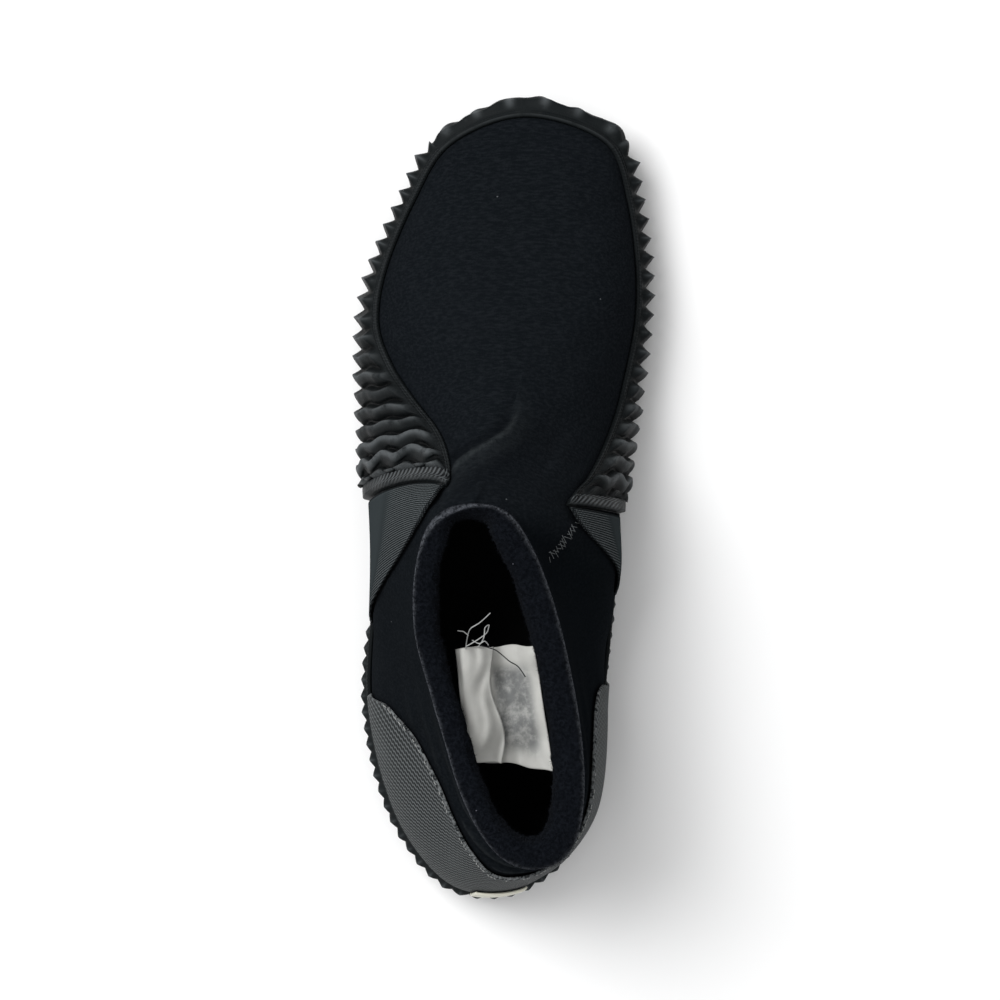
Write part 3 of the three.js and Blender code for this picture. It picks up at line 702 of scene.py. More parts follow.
# Painted shade on the steep sides of the ankle, strongest on the inner side, away from the light.
ankle_shade = 0.6 * np.where(on_outer_side, 0.3, 1)
ankle_shade = ankle_shade * ease((ring_share - S) / 0.12) * ease((outer_face[..., 2] - 30) / 20)
ankle_shade = np.concatenate([ankle_shade, np.zeros(TI.shape), ankle_shade[:1]])
upper_marks = {"lining": lining, "ankle_shade": ankle_shade, "ridge_highlight_wear": ridge_highlight_wear, "crease_shade": crease_shade}
upper_mesh, row, column = woven("upper", upper_points, upper_across, upper_up, upper_marks)
rim = len(outer_climbs) - 1
middle_share = 0.5 * (upper_shares[column] + upper_shares[column + 1])
upper = finish_piece("upper_neoprene", upper_mesh, drop=(row == rim) & (middle_share > ring_share))


def new_group(name, takes, gives):
    """A shader group with named inputs and outputs."""
    group = bpy.data.node_groups.new(name, "ShaderNodeTree")
    for label, kind in takes:
        group.interface.new_socket(label, in_out="INPUT", socket_type=kind)
    for label, kind in gives:
        group.interface.new_socket(label, in_out="OUTPUT", socket_type=kind)
    return group, group.nodes.new("NodeGroupInput"), group.nodes.new("NodeGroupOutput")


def blend(tree, share, a, b):
    """A mix of two colours, each a socket or three numbers."""
    a, b = (c if isinstance(c, bpy.types.NodeSocket) else (*c, 1) for c in (a, b))
    return node(tree, "ShaderNodeMix", {0: share, 6: a, 7: b}, data_type="RGBA").outputs[2]


def painted(tree, tone, *coats):
    """Lays colours over a tone, each through its mask."""
    for mask, *colour in coats:
        tone = blend(tree, mask, tone, colour)
    return tone


def sine(tree, value, rate=1.0):
    return sums(tree, "SINE", times(tree, value, rate))


def use(tree, group, inputs):
    made = node(tree, "ShaderNodeGroup", node_tree=group)
    for name, value in inputs.items():
        if isinstance(value, bpy.types.NodeSocket):
            tree.links.new(value, made.inputs[name])
        else:
            made.inputs[name].default_value = value
    return made


def object_place(tree):
    return node(tree, "ShaderNodeTexCoord").outputs["Object"]


def surface_place(tree):
    """The places along and up a piece's surface, in millimetres."""
    surface = node(tree, "ShaderNodeUVMap", uv_map="surface").outputs[0]
    return node(tree, "ShaderNodeSeparateXYZ", {0: surface}).outputs


def mark(tree, name):
    return node(tree, "ShaderNodeAttribute", attribute_name=name).outputs["Fac"]


def noise(tree, place, scale, detail=3.0, roughness=0.55):
    inputs = {"Vector": place, "Scale": scale, "Detail": detail, "Roughness": roughness}
    return node(tree, "ShaderNodeTexNoise", inputs).outputs[0]


def finish_surface(tree, shader, colour, height, strength, distance):
    """Joins a colour and a height to the surface."""
    bump = node(tree, "ShaderNodeBump", {"Height": height, "Strength": strength, "Distance": distance})
    tree.links.new(colour, shader.inputs["Base Color"])
    tree.links.new(bump.outputs[0], shader.inputs["Normal"])


# Lint: small pale specks, few and unevenly strewn
lint_group, lint_in, lint_out = new_group(
    "lint_specks",
    [("Place", "NodeSocketVector"), ("Scale", "NodeSocketFloat"), ("Size", "NodeSocketFloat")],
    [("Mask", "NodeSocketFloat")],
)
cell_inputs = {"Vector": lint_in.outputs["Place"], "Scale": lint_in.outputs["Scale"]}
cells = node(lint_group, "ShaderNodeTexVoronoi", cell_inputs)
cell_chance = node(lint_group, "ShaderNodeSeparateColor", {0: cells.outputs["Color"]})
cell_near = sums(lint_group, "LESS_THAN", cells.outputs["Distance"], lint_in.outputs["Size"])
cell_pick = sums(lint_group, "GREATER_THAN", cell_chance.outputs[0], 0.86)
lint_group.links.new(times(lint_group, cell_near, cell_pick), lint_out.inputs["Mask"])

# A knitted face: short, uneven dashes across the shoe in a soft pile
knit_group, knit_in, knit_out = new_group(
    "knit_face", [("Place", "NodeSocketVector"), ("Pitch", "NodeSocketFloat")], [("Height", "NodeSocketFloat")]
)
knit_rate = sums(knit_group, "DIVIDE", 0.75, knit_in.outputs["Pitch"])
knit_place = knit_in.outputs["Place"]
knit_stretch = node(knit_group, "ShaderNodeVectorMath", {0: knit_place, 1: (0.3, 1.0, 1.0)}, operation="MULTIPLY")
wales = noise(knit_group, knit_stretch.outputs[0], knit_rate, 2.0, 0.5)
pile = noise(knit_group, knit_place, 1900.0, 2.0, 0.5)
knit_height = sums(knit_group, "MULTIPLY_ADD", wales, 0.8, times(knit_group, pile, 0.4))
knit_group.links.new(knit_height, knit_out.inputs["Height"])

neoprene, tree, shader = new_material(
    "neoprene", **{"Roughness": 0.95, "Specular IOR Level": 0.0, "Sheen Weight": 0.004, "Sheen Roughness": 0.5}
)
place = object_place(tree)
knit = use(tree, knit_group, {"Place": place, "Pitch": 0.00065}).outputs["Height"]
uneven = ramp(tree, noise(tree, place, 500.0, 4.0, 0.7), 0.3, 0.65, 0.2, 0.8)
tone = painted(
    tree,
    blend(tree, noise(tree, place, 26.0), (0.0036, 0.0048, 0.006), (0.0056, 0.007, 0.0088)),
    (ramp(tree, knit, 0.45, 0.85), 0.009, 0.0108, 0.013),
    # Painted shade in the instep crease.
    (times(tree, mark(tree, "crease_shade"), 0.5), 0.0024, 0.003, 0.004),
    # Painted highlight with some wear on the crease's ridge and the buckles' crests.
    (times(tree, mark(tree, "ridge_highlight_wear"), uneven), 0.026, 0.03, 0.032),
    # Painted shade on the ankle's sides.
    (mark(tree, "ankle_shade"), 0.0024, 0.0034, 0.0044),
    (mark(tree, "lining"), 0.003, 0.0034, 0.0048),
    (use(tree, lint_group, {"Place": place, "Scale": 170.0, "Size": 0.05}).outputs["Mask"], 0.07, 0.075, 0.08),
)
finish_surface(tree, shader, tone, knit, 0.6, 0.0003)
hand_over(upper, neoprene, "neoprene", "upper")

# ---------------------------------------------------------------- Collar binding
# A hem of napped fleece rolled over the top edge and stitched down: a thin lip outside, a thick soft roll inside.
# Its loose pile stands up as short fibres, and its outer lip is painted pale: a painted highlight along the edge, with
# some lint.
binding_skin = 1.2
binding_roll = 5
binding_depth = 10
binding_lip = 2.5
binding_inner = -neoprene_wall - 1.6 * gap
binding_profile = np.array(
    [
        (gap, binding_lip),
        (gap, -gap),
        (binding_inner, -gap),
        (binding_inner - gap, 0.5 * binding_depth),
        (binding_inner - gap, binding_depth),
        (binding_inner - 0.6 * binding_roll, binding_depth),
        (binding_inner - binding_roll, 0.5 * binding_depth),
        (binding_inner - binding_roll, 0.1 * binding_depth),
        (binding_inner - 0.5 * binding_roll, -gap - binding_skin),
        (gap, -gap - binding_skin),
        (gap + binding_skin, 0),
        (gap + binding_skin, binding_lip),
    ]
)
binding_turns, binding_shares = around(260, 1)
on_ring = binding_shares <= ring_share + 1e-9
binding_turns, binding_shares = binding_turns[on_ring], binding_shares[on_ring]
binding_path = closed_curve(binding_profile, 56)
TB, KB = np.meshgrid(binding_turns, np.arange(len(binding_path)))
across, down = binding_path[KB, 0], binding_path[KB, 1]
ring_place = side_share(TB) / ring_share
thinner = 1 - 0.12 * ease((ring_place - 0.6) / 0.25)
thinner = thinner - np.where(is_outer(TB), 0.42, 0) * ease(ring_place / 0.3) * ease((1 - ring_place) / 0.14)
across = np.where(across < binding_inner, binding_inner + (across - binding_inner) * thinner, across)
binding_points = form_point(TB, 1 - np.maximum(down, 0) / speed_at(TB, np.full(TB.shape, 0.97)), across)
binding_points[..., 2] -= np.minimum(down, 0)
soft_side = np.clip((-across - neoprene_wall) / 2, 0, 1) + np.clip((-down - gap) / 1, 0, 1)
lumps = ripple(binding_points, 21, 24, 3, 12, 0.28) * np.clip(soft_side, 0, 1)
faces_out = np.where(across > binding_inner - 1, 1, -1)
binding_points += form_normal(TB, np.full(TB.shape, 0.98)) * (lumps * faces_out)[..., None]
to_tip = np.arange(binding_points.shape[1]) - (binding_points.shape[1] - 1) / 2
binding_points = smoothed(binding_points, np.broadcast_to(bell(to_tip, 0, 26), TB.shape), 160)
# The outer lip's edge, painted pale as a highlight with some lint.
lip_highlight = bell(across - gap - binding_skin, 0, 0.7) * bell(down, 0.6, 1.6)
binding_mesh, _, _ = woven("collar_binding", binding_points, TB * feather_length, KB * 0.6, {"lip_highlight": lip_highlight})
binding = finish_piece("collar_fleece_roll", binding_mesh)

fleece, tree, shader = new_material(
    "collar_fleece", **{"Roughness": 1.0, "Specular IOR Level": 0.0, "Sheen Weight": 0.008, "Sheen Roughness": 0.6}
)
place = object_place(tree)
nap = noise(tree, place, 900.0, 4.0, 0.7)
clumps = noise(tree, place, 240.0)
tone = painted(
    tree,
    blend(tree, ramp(tree, nap, 0.36, 0.66), (0.0022, 0.0028, 0.004), (0.0068, 0.0082, 0.0112)),
    (ramp(tree, clumps, 0.35, 0.7, 0.0, 0.4), 0.003, 0.0036, 0.005),
    # Painted highlight along the outer lip, with some lint.
    (times(tree, mark(tree, "lip_highlight"), ramp(tree, nap, 0.3, 0.65)), 0.085, 0.092, 0.105),
    (use(tree, lint_group, {"Place": place, "Scale": 260.0, "Size": 0.06}).outputs["Mask"], 0.1, 0.1, 0.12),
)
finish_surface(tree, shader, tone, sums(tree, "MULTIPLY_ADD", clumps, 0.8, nap), 0.9, 0.0006)
hand_over(binding, fleece, "collar_fleece", "collar_binding")


def faced(name, corners, faces):
    """A mesh of loose faces, from corners in millimetres."""
    placed = np.array(corners, float).reshape(-1, 3)
    placed[:, :2] += shift
    mesh = bpy.data.meshes.new(name)
    mesh.from_pydata((placed / 1000).tolist(), [], faces)
    return stand(name, mesh)


def yarn(name, roughness, specular, scale, dark, light):
    """A matt yarn whose tone wanders between two colours."""
    made, tree, shader = new_material(name, **{"Roughness": roughness, "Specular IOR Level": specular})
    tree.links.new(blend(tree, noise(tree, object_place(tree), scale), dark, light), shader.inputs["Base Color"])
    return made


fibre_count = 11000
fibre_length = 0.9
fibre_width = 0.1
draw = np.random.default_rng(31)
fibre_at = draw.integers(0, binding_points.shape[1] - 1, fibre_count)
profile_out, profile_down = binding_path[:, 0], binding_path[:, 1]
napped = (profile_out < binding_inner - 1) | (profile_down < -gap - 0.3) | (profile_out > gap + 0.6)
shown = np.nonzero((profile_down < 6) & napped)[0]
fibre_row = draw.choice(shown, fibre_count)
roots = binding_points[fibre_row, fibre_at]
middles = binding_points[8:20, :].mean(0)[fibre_at]
fibre_out = unit(unit(roots - middles) + draw.normal(scale=0.55, size=(fibre_count, 3)))
fibre_side = unit(np.cross(fibre_out, draw.normal(size=(fibre_count, 3)))) * fibre_width / 2
fibre_long = fibre_out * (fibre_length * draw.uniform(0.4, 1.2, fibre_count))[:, None]
bend = draw.normal(scale=0.25, size=(fibre_count, 3))
waists, narrowed = roots + 0.6 * fibre_long, fibre_side * 0.7
tips = roots + fibre_long + bend
corners = np.stack([roots - fibre_side, roots + fibre_side, waists + narrowed, waists - narrowed, tips], 1)
first = (np.arange(fibre_count) * 5)[:, None]
fibre_faces = [tuple(f) for f in (first + [0, 1, 2, 3]).tolist()] + [tuple(f) for f in (first + [3, 2, 4]).tolist()]
fibres = faced("collar_fibres", corners, fibre_faces)
fibre_finish = yarn("fleece_fibres", 1.0, 0.0, 700.0, (0.004, 0.0048, 0.0068), (0.022, 0.0255, 0.032))
hand_over(fibres, fibre_finish, "collar_fleece")

# ---------------------------------------------------------------- Insole
# A flat footbed of 3 mm foam with a knitted face, die-cut and laid in loose on the cup's floor.


def spine(y):
    """The middle line of the sole."""
    return np.stack([np.interp(share_of(y), [0, 1], [-4, 8]), y], -1)


footbed_turns = np.arange(221) / 220
footbed_rim = feather_point(footbed_turns) - outward(footbed_turns) * (neoprene_wall + insole_margin)
footbed_rows = []
for inset, up in ((0, 0), (0, 0.3), (0, 2.5), (0.25, 2.85), (0.8, 3.0), (4, 3), (10, 3), (17, 3), (26, 3)):
    pulled = mix(footbed_rim, spine(footbed_rim[:, 1]), min(inset / 30, 0.94))
    z = lug_depth + sole_thickness + gap + lift(pulled[:, 1]) + up
    footbed_rows.append(np.concatenate([pulled, z[:, None]], -1))
footbed_points = np.array(footbed_rows)
footbed_across = np.broadcast_to(footbed_turns, footbed_points.shape[:2])
footbed_mesh, _, _ = woven("insole", footbed_points, footbed_across, footbed_points[..., 2])
insole = finish_piece("insole_foam", footbed_mesh, fill=True)
foam, tree, shader = new_material("footbed_foam", **{"Roughness": 0.95, "Specular IOR Level": 0.1})
place = object_place(tree)
tone = blend(tree, noise(tree, place, 60.0), (0.004, 0.0045, 0.005), (0.009, 0.0095, 0.01))
knit = use(tree, knit_group, {"Place": place, "Pitch": 0.0012}).outputs["Height"]
finish_surface(tree, shader, tone, knit, 0.6, 0.0004)
hand_over(insole, foam, "footbed_foam", "insole")

# ---------------------------------------------------------------- Outsole
# One moulding of charcoal rubber, glued on: a cup with pleated, wavy ribs round the forefoot, scallops round the heel
# and a lumpy bumper at the toe. A raised, hatched band stops the ribs on each flank, and two beads border the vamp.
rubber_wall = 1.6
rib_depth = 3.6
rib_pitch = 6.4
heel_rib_depth = 1.4
heel_rib_pitch = 5.4
heel_pad = 1
toe_scallop = 12
rib_wave = 0.5
last_rib_wave = 1.4
rib_wave_length = 17
band_width = 5
band_rise = 1.7
bumper_at = 0.95
flange_width = 3.0
spine_step = 2
wall_columns = {name: [] for name in "turn rib band low lump pad ribbed phase".split()}


def wall_column(turn, rib=0.0, band=0.0, low=0.0, lump=0.0, pad=0.0, ribbed=0.0, phase=0.0):
    values = dict(turn=turn, rib=rib, band=band, low=low, lump=lump, pad=pad, ribbed=ribbed, phase=phase)
    for name, value in values.items():
        wall_columns[name].append(value)


def pleat(q, forward):
    """A rib's height at a share of the pitch, going to the toe from its crest. At the waist it drops steeply and
    rises roundly to the next crest. Forward of that both flanks become straight."""
    drop = mix(0.28, 0.46, forward)
    if q < drop:
        return (1 - q / drop) ** 1.2
    rise = (q - drop) / (1 - drop)
    peak = 0.1 * (1 - forward) * max(0, 1 - (1 - q) / 0.08)
    return mix(math.sin(math.pi / 2 * rise) ** 0.9, rise**1.1, forward) + peak


def ribs(start, end, pitch, kind):
    count = round((end - start) * feather_length / pitch)
    steps = 10 if kind == "heel" else 14
    toeward = 1 if start < toe_turn else -1
    jitter = np.random.default_rng(int(start * 1000)).normal(size=(count + 1, 2))
    for i in range(count * steps):
        turn, p = mix(start, end, i / (count * steps)), (i / steps) % 1
        if kind == "heel":
            wall_column(turn, 1 - abs(2 * p - 1) ** 1.2, pad=1, ribbed=0.5)
        elif kind == "toe":
            wall_column(turn, 0.5 - 0.5 * math.cos(2 * math.pi * p), lump=1)
        else:
            nearest = round(i / steps)
            walked = (turn - start if toeward > 0 else end - turn) * feather_length
            forward = float(ease((walked - 30) / 35))
            height = pleat(p if toeward > 0 else (1 - p) % 1, forward) * (1 + 0.05 * jitter[nearest, 0])
            wall_column(turn, height, ribbed=0.0 if i == 0 else 1.0, phase=0.35 * jitter[nearest, 1])


def plain(start, end, count):
    for i in range(1, count):
        wall_column(mix(start, end, i / count))


def band(start, direction):
    front = start + direction * band_width / feather_length
    steps = [dict(turn=start - direction * gap / feather_length, low=1), dict(turn=start)]
    for i in range(1, 22):
        share = i / 22
        steps.append(dict(turn=mix(start, front, share), band=float(ease(share / 0.12) * ease((1 - share) / 0.12))))
    steps.append(dict(turn=front))
    for step in steps if direction > 0 else steps[::-1]:
        wall_column(**step)
    return front


heel_step = gap / feather_length
ribs(0, turn_at(True, saddle_outer_end) - heel_step, heel_rib_pitch, "heel")
wall_column(turn_at(True, saddle_outer_end) - heel_step, pad=1)
wall_column(turn_at(True, saddle_outer_end))
plain(turn_at(True, saddle_outer_end), turn_at(True, band_outer_at), 26)
outer_front = band(turn_at(True, band_outer_at), 1)
inner_front = turn_at(False, band_inner_at) - band_width / feather_length
for name in wall_columns:
    wall_columns[name].pop()
ribs(outer_front, turn_at(True, bumper_at), rib_pitch, "flank")
ribs(turn_at(True, bumper_at), turn_at(False, bumper_at), toe_scallop, "toe")
ribs(turn_at(False, bumper_at), inner_front, rib_pitch, "flank")
band(turn_at(False, band_inner_at), -1)
plain(turn_at(False, band_inner_at), turn_at(False, saddle_inner_end), 26)
wall_column(turn_at(False, saddle_inner_end))
ribs(turn_at(False, saddle_inner_end) + heel_step, 1, heel_rib_pitch, "heel")
wall_column(1.0, pad=1)
wall = {name: np.array(values) for name, values in wall_columns.items()}
wall_foot = feather_point(wall["turn"])
wall_at = share_of(wall_foot[:, 1])
wall_edge = edge_climb(wall["turn"], wall["low"] > 0.5)
wall_speed = speed_at(wall["turn"], np.maximum(wall_edge - 0.02, 0.01))
flank_reach = rib_depth * mix(1, 0.3, ease((wall_at - bumper_at + 0.02) / 0.04))
wall_reach = np.where(wall["pad"] > 0, heel_rib_depth, flank_reach)
rib_height = wall["rib"] * wall_reach + heel_pad * wall["pad"]
from_band = np.where(is_outer(wall["turn"]), wall["turn"] - outer_front, inner_front - wall["turn"]) * feather_length
wave_size = mix(last_rib_wave, rib_wave, ease((from_band - 4) / 12))


def level(inset, height):
    base = wall_foot + outward(wall["turn"]) * inset[:, None]
    return np.concatenate([base, (height + lift(wall_foot[:, 1]))[:, None]], -1)


cup_rows, cup_marks = [], {name: [] for name in ("crest", "valley", "hatch", "border")}


def add_row(points, **marks):
    cup_rows.append(points)
    for name in cup_marks:
        cup_marks[name].append(np.broadcast_to(marks.get(name, 0.0), wall["turn"].shape))


def toward_middle(share, height):
    """A ring of the cup's floor or underside, drawn in towards the middle line. At 1 both sides meet there,
    in even steps."""
    middle_y = np.clip(wall_foot[:, 1], length_y(0.03), length_y(0.97))
    if share == 1:
        middle_y = spine_step * np.round(middle_y / spine_step)
    base = mix(wall_foot, spine(middle_y), share)
    return np.concatenate([base, (height + lift(base[:, 1]))[:, None]], -1)


full = gap + rubber_wall + 0.8 * wall["rib"] * wall_reach + heel_pad * wall["pad"] + 0.5 * band_rise * wall["band"]
for share in (1, 0.94, 0.7, 0.4, 0.16, 0.05):
    add_row(toward_middle(share, lug_depth))
add_row(level(full - rubber_wall, lug_depth))
add_row(level(full - 0.35 * rubber_wall, lug_depth + 0.2))
for share in (0.12, 0.3, 0.5, 0.7, 0.95):
    # The teeth's crests are marked paler, for wear and for a painted highlight.
    add_row(level(full, lug_depth + share * sole_thickness), crest=wall["rib"] ** 4 * 0.7)
flange_start = wall_edge - flange_width / wall_speed
wall_rows = 36
tall = ease((wall_edge - 0.16) / 0.06)
for k in range(wall_rows):
    climb = np.maximum(mix(0.04, flange_start, (k + 0.5) / wall_rows), 0.01)
    left = (wall_edge - climb) * wall_speed - flange_width
    fade = ease((left + 0.2) / 3.2)
    risen = climb / np.maximum(wall_edge, 0.01)
    reach = mix(0.75, 1, fade) * rubber_wall + fade * rib_height * mix(1, 0.8, risen) + band_rise * wall["band"]
    wave = wave_size * np.sin(2 * np.pi * climb * wall_speed / rib_wave_length + wall["phase"]) * ease((left + 1) / 3)
    turn = wall["turn"] + np.where(wall["ribbed"] > 0.6, wave * tall, 0) / feather_length
    points = form_point(turn, climb, gap + reach)
    dents = ripple(points, 8, 18, 5, 14, 0.55) * wall["lump"] + ripple(points, 9, 12, 4, 9, 0.1)
    points = points + form_normal(turn, climb) * ((dents + 1.1 * wall["lump"]) * fade)[:, None]
    # The hatched band is painted with light on its ridges and shade in its grooves, clearest in its upper half.
    hatch = wall["band"] * ease((risen - 0.3) / 0.25)
    # Painted shade in the valleys between the ribs.
    valley = (1 - np.clip(wall["rib"], 0, 1)) ** 1.5 * fade * (wall["ribbed"] > 0.6)
    add_row(points, crest=np.clip(wall["rib"], 0, 1) ** 7 * fade, valley=valley, hatch=hatch)
for distance in (3.0, 2.7, 2.4, 2.15, 1.9, 1.65, 1.4, 1.15, 0.9, 0.65, 0.4, 0.2, 0.05):
    climb = np.maximum(wall_edge - distance / wall_speed, 0.008)
    beads = 0.55 * bell(distance, 0.6, 0.33) + 0.5 * (1 - wall["lump"]) * bell(distance, 2.0, 0.36)
    reach = 0.6 * rubber_wall + beads + band_rise * wall["band"] * 0.9
    points = form_point(wall["turn"], climb, gap + reach)
    # Painted shade on the rubber below the vamp's edge, around and between the beads.
    border = (1 - wall["band"]) * (1 - wall["lump"]) * (1 - beads)
    add_row(points, crest=0.5 * beads, hatch=wall["band"], border=border)
edge_row = len(cup_rows)
add_row(form_point(wall["turn"], wall_edge, gap + 0.4 * rubber_wall + 0.6 * band_rise * wall["band"]))
add_row(form_point(wall["turn"], wall_edge, gap))
for share in (0.9, 0.75, 0.6, 0.45, 0.3, 0.15):
    add_row(form_point(wall["turn"], wall_edge * share, gap))
add_row(level(np.full(wall_at.shape, gap), lug_depth + sole_thickness))
for share in (0.05, 0.4, 0.7, 0.94, 1):
    add_row(toward_middle(share, lug_depth + sole_thickness))
cup_points = np.array(cup_rows)
cup_steps = np.linalg.norm(np.diff(cup_points, axis=0) * [1, 1, 0.25], axis=-1)
cup_up = np.concatenate([np.zeros((1, cup_points.shape[1])), np.cumsum(cup_steps, axis=0)])
cup_up = cup_up - cup_up[edge_row]
cup_marks = {name: np.array(values) for name, values in cup_marks.items()}
cup_across = np.broadcast_to(wall["turn"] * feather_length, cup_points.shape[:2])
cup_mesh, _, _ = woven("outsole", cup_points, cup_across, cup_up, cup_marks)

# Zigzag bars across the tread, which end just inside the outline and stop at the arch
bar_width = 6
bar_spacing = 12.5
bar_zigzag = 3
bar_step = 19
bar_margin = 3
bar_profile = [(-0.5, 5.5), (-0.5, 0.6), (-0.44, 0), (0.44, 0), (0.5, 0.6), (0.5, 5.5), (-0.5, 5.5)]
tread_turns = np.linspace(0, 1, 801)
tread_rim = feather_point(tread_turns) - outward(tread_turns) * bar_margin
toe_step = int(np.argmax(tread_rim[:, 1]))
rim_outer, rim_inner = tread_rim[: toe_step + 1], tread_rim[toe_step:][::-1]
bar_shares = np.linspace(0, 1, 49)[None]
bar_meshes = []
for bar_y in np.arange(length_y(0.04), length_y(0.97), bar_spacing):
    if 0.33 < share_of(bar_y) < 0.58:
        continue
    bar_dy = np.array([[side * bar_width] for side, _ in bar_profile])
    bar_x = mix(-40.0, 40.0, bar_shares) + 0 * bar_dy
    for _ in range(6):
        zigzag = bar_zigzag * (1 - 2 * np.abs((bar_x + ball_width / 2 + bar_step) / bar_step % 2 - 1))
        bar_edge = bar_y + zigzag + bar_dy
        left = np.interp(bar_edge, rim_outer[:, 1], rim_outer[:, 0])
        right = np.interp(bar_edge, rim_inner[:, 1], rim_inner[:, 0])
        bar_x = mix(left, right, bar_shares)
    bar_z = np.array([[up] for _, up in bar_profile]) + lift(bar_y) + 0 * bar_x
    bar_points = np.stack([bar_x, bar_edge, bar_z], -1)
    ends = [np.broadcast_to(bar_points[:-1, k].mean(0), (len(bar_profile), 1, 3)) for k in (0, -1)]
    bar_points = np.concatenate([ends[0], bar_points, ends[1]], 1)
    bar_meshes.append(woven("bar", bar_points, bar_points[..., 0], bar_points[..., 2])[0])
outsole = finish_piece("outsole_rubber", cup_mesh, fill=True, more=bar_meshes)

# Paler places that follow a mask, broken up by noise. On the rubber's crests they stand partly for wear and partly for
# a painted highlight.
wear_group, wear_in, wear_out = new_group(
    "paler_crests",
    [("Place", "NodeSocketVector"), ("Edge", "NodeSocketFloat"), ("Scale", "NodeSocketFloat")],
    [("Mask", "NodeSocketFloat")],
)
broken = noise(wear_group, wear_in.outputs["Place"], wear_in.outputs["Scale"], 5.0, 0.65)
tone_shift_mask = times(wear_group, wear_in.outputs["Edge"], ramp(wear_group, broken, 0.28, 0.56))
wear_group.links.new(tone_shift_mask, wear_out.inputs["Mask"])

rubber, tree, shader = new_material("moulded_rubber", **{"Specular IOR Level": 0.04})
place, uv = object_place(tree), surface_place(tree)
# Paler crests: partly wear, partly a painted highlight.
crest_wear_highlight = use(tree, wear_group, {"Place": place, "Edge": mark(tree, "crest"), "Scale": 160.0}).outputs["Mask"]
patches = noise(tree, place, 70.0, 4.0)
dust = times(tree, ramp(tree, noise(tree, place, 210.0, 6.0, 0.7), 0.55, 0.8), 0.3)
hatch, border = mark(tree, "hatch"), mark(tree, "border")
slope = sums(tree, "ADD", times(tree, uv[0], -3.0), times(tree, uv[1], 3.9))
cuts = times(tree, ramp(tree, sine(tree, slope), -0.3, 0.4), hatch)
notches = times(tree, ramp(tree, sine(tree, uv[0], 5.2), -0.2, 0.6), border)
tone = painted(
    tree,
    blend(tree, patches, (0.0056, 0.007, 0.0077), (0.0103, 0.0123, 0.0132)),
    # Painted shade in the rib valleys.
    (times(tree, mark(tree, "valley"), 0.95), 0.0006, 0.0009, 0.001),
    # Painted highlight on the hatched band.
    (hatch, 0.07, 0.077, 0.081),
    (crest_wear_highlight, 0.066, 0.073, 0.077),
    (dust, 0.035, 0.037, 0.036),
    # Painted shade along the beads below the vamp.
    (times(tree, sums(tree, "SUBTRACT", border, notches), 0.7), 0.0045, 0.0055, 0.006),
    # Painted shade in the band's grooves.
    (times(tree, sums(tree, "SUBTRACT", hatch, cuts), 0.93), 0.003, 0.0034, 0.004),
)
tree.links.new(ramp(tree, patches, 0.3, 0.7, 0.4, 0.58), shader.inputs["Roughness"])
grain = sums(tree, "MULTIPLY_ADD", noise(tree, place, 1700.0), 0.16, sums(tree, "MULTIPLY_ADD", notches, 0.5, cuts))
finish_surface(tree, shader, tone, grain, 0.9, 0.0005)
hand_over(outsole, rubber, "moulded_rubber", "outsole")

# ---------------------------------------------------------------- Saddles
# Flexible panels of grey rubber sheet over both sides of the waist, glued on, with a fine mesh pressed into their tops.
overlay_gap = 0.5
saddle_thickness = 1.3


def thicken(sheet, wall, offset):
    solid = sheet.modifiers.new("thickness", "SOLIDIFY")
    solid.thickness, solid.offset = wall, offset


def overlay(name, turns, low, high, rows, thickness, offset=overlay_gap):
    """A sheet of even thickness over the upper, with its edges rolled down a little."""
    s = np.linspace(0, 1, rows + 1)[:, None]
    TT = np.broadcast_to(turns, (rows + 1, len(turns)))
    CC = mix(low[None], high[None], s)
    steps = np.linalg.norm(np.diff(form_point(TT, CC, offset), axis=0), axis=-1)
    up = np.concatenate([np.zeros((1, len(turns))), np.cumsum(steps, axis=0)])
    run = turns * feather_length
    away = np.minimum(np.minimum(up, up[-1] - up), np.minimum(np.abs(run - run[0]), np.abs(run - run[-1]))[None])
    rolled = 1 - 0.55 * (1 - np.clip(away / 0.9, 0, 1)) ** 2
    points = form_point(TT, CC, offset + thickness * rolled)
    marks = {"border": np.clip(1 - away / 2.2, 0, 1), "high": s * np.ones_like(TT)}
    mesh, _, _ = woven(name, points, np.broadcast_to(run, TT.shape), up, marks)
    mesh.flip_normals()
    made = finish_piece(name, mesh, outwards=False)
    thicken(made, 0.0008, -1)
    return made


def saddle(name, outer_side):
    start, end = saddle_ends[outer_side]
    turns = np.linspace(min(start, end), max(start, end), 141)
    low = above_rubber(turns)
    high = np.maximum(saddle_climb(turns, outer_side), low + 2 / speed_at(turns, low))
    return overlay(name, turns, low, high, 90, saddle_thickness)


saddle_outer = saddle("saddle_outer_sheet", True)
saddle_inner = saddle("saddle_inner_sheet", False)
saddle_rubber, tree, shader = new_material("saddle_rubber", **{"Roughness": 0.6, "Specular IOR Level": 0.0})
place, uv, border = object_place(tree), surface_place(tree), mark(tree, "border")
scratch = ramp(tree, noise(tree, place, 420.0, 6.0, 0.75), 0.62, 0.8)
cross, rise = (times(tree, uv[k], 3.4) for k in (0, 1))
pressed = ramp(tree, mark(tree, "high"), 0.4, 0.66)
dots = times(tree, sine(tree, sums(tree, "ADD", cross, rise)), sine(tree, sums(tree, "SUBTRACT", cross, rise)), pressed)
edge_line = ramp(tree, sums(tree, "ABSOLUTE", sums(tree, "SUBTRACT", border, 0.3)), 0.12, 0.04)
stitches = times(tree, ramp(tree, sine(tree, sums(tree, "ADD", uv[0], uv[1]), 3.4), 0.0, 0.6), edge_line)
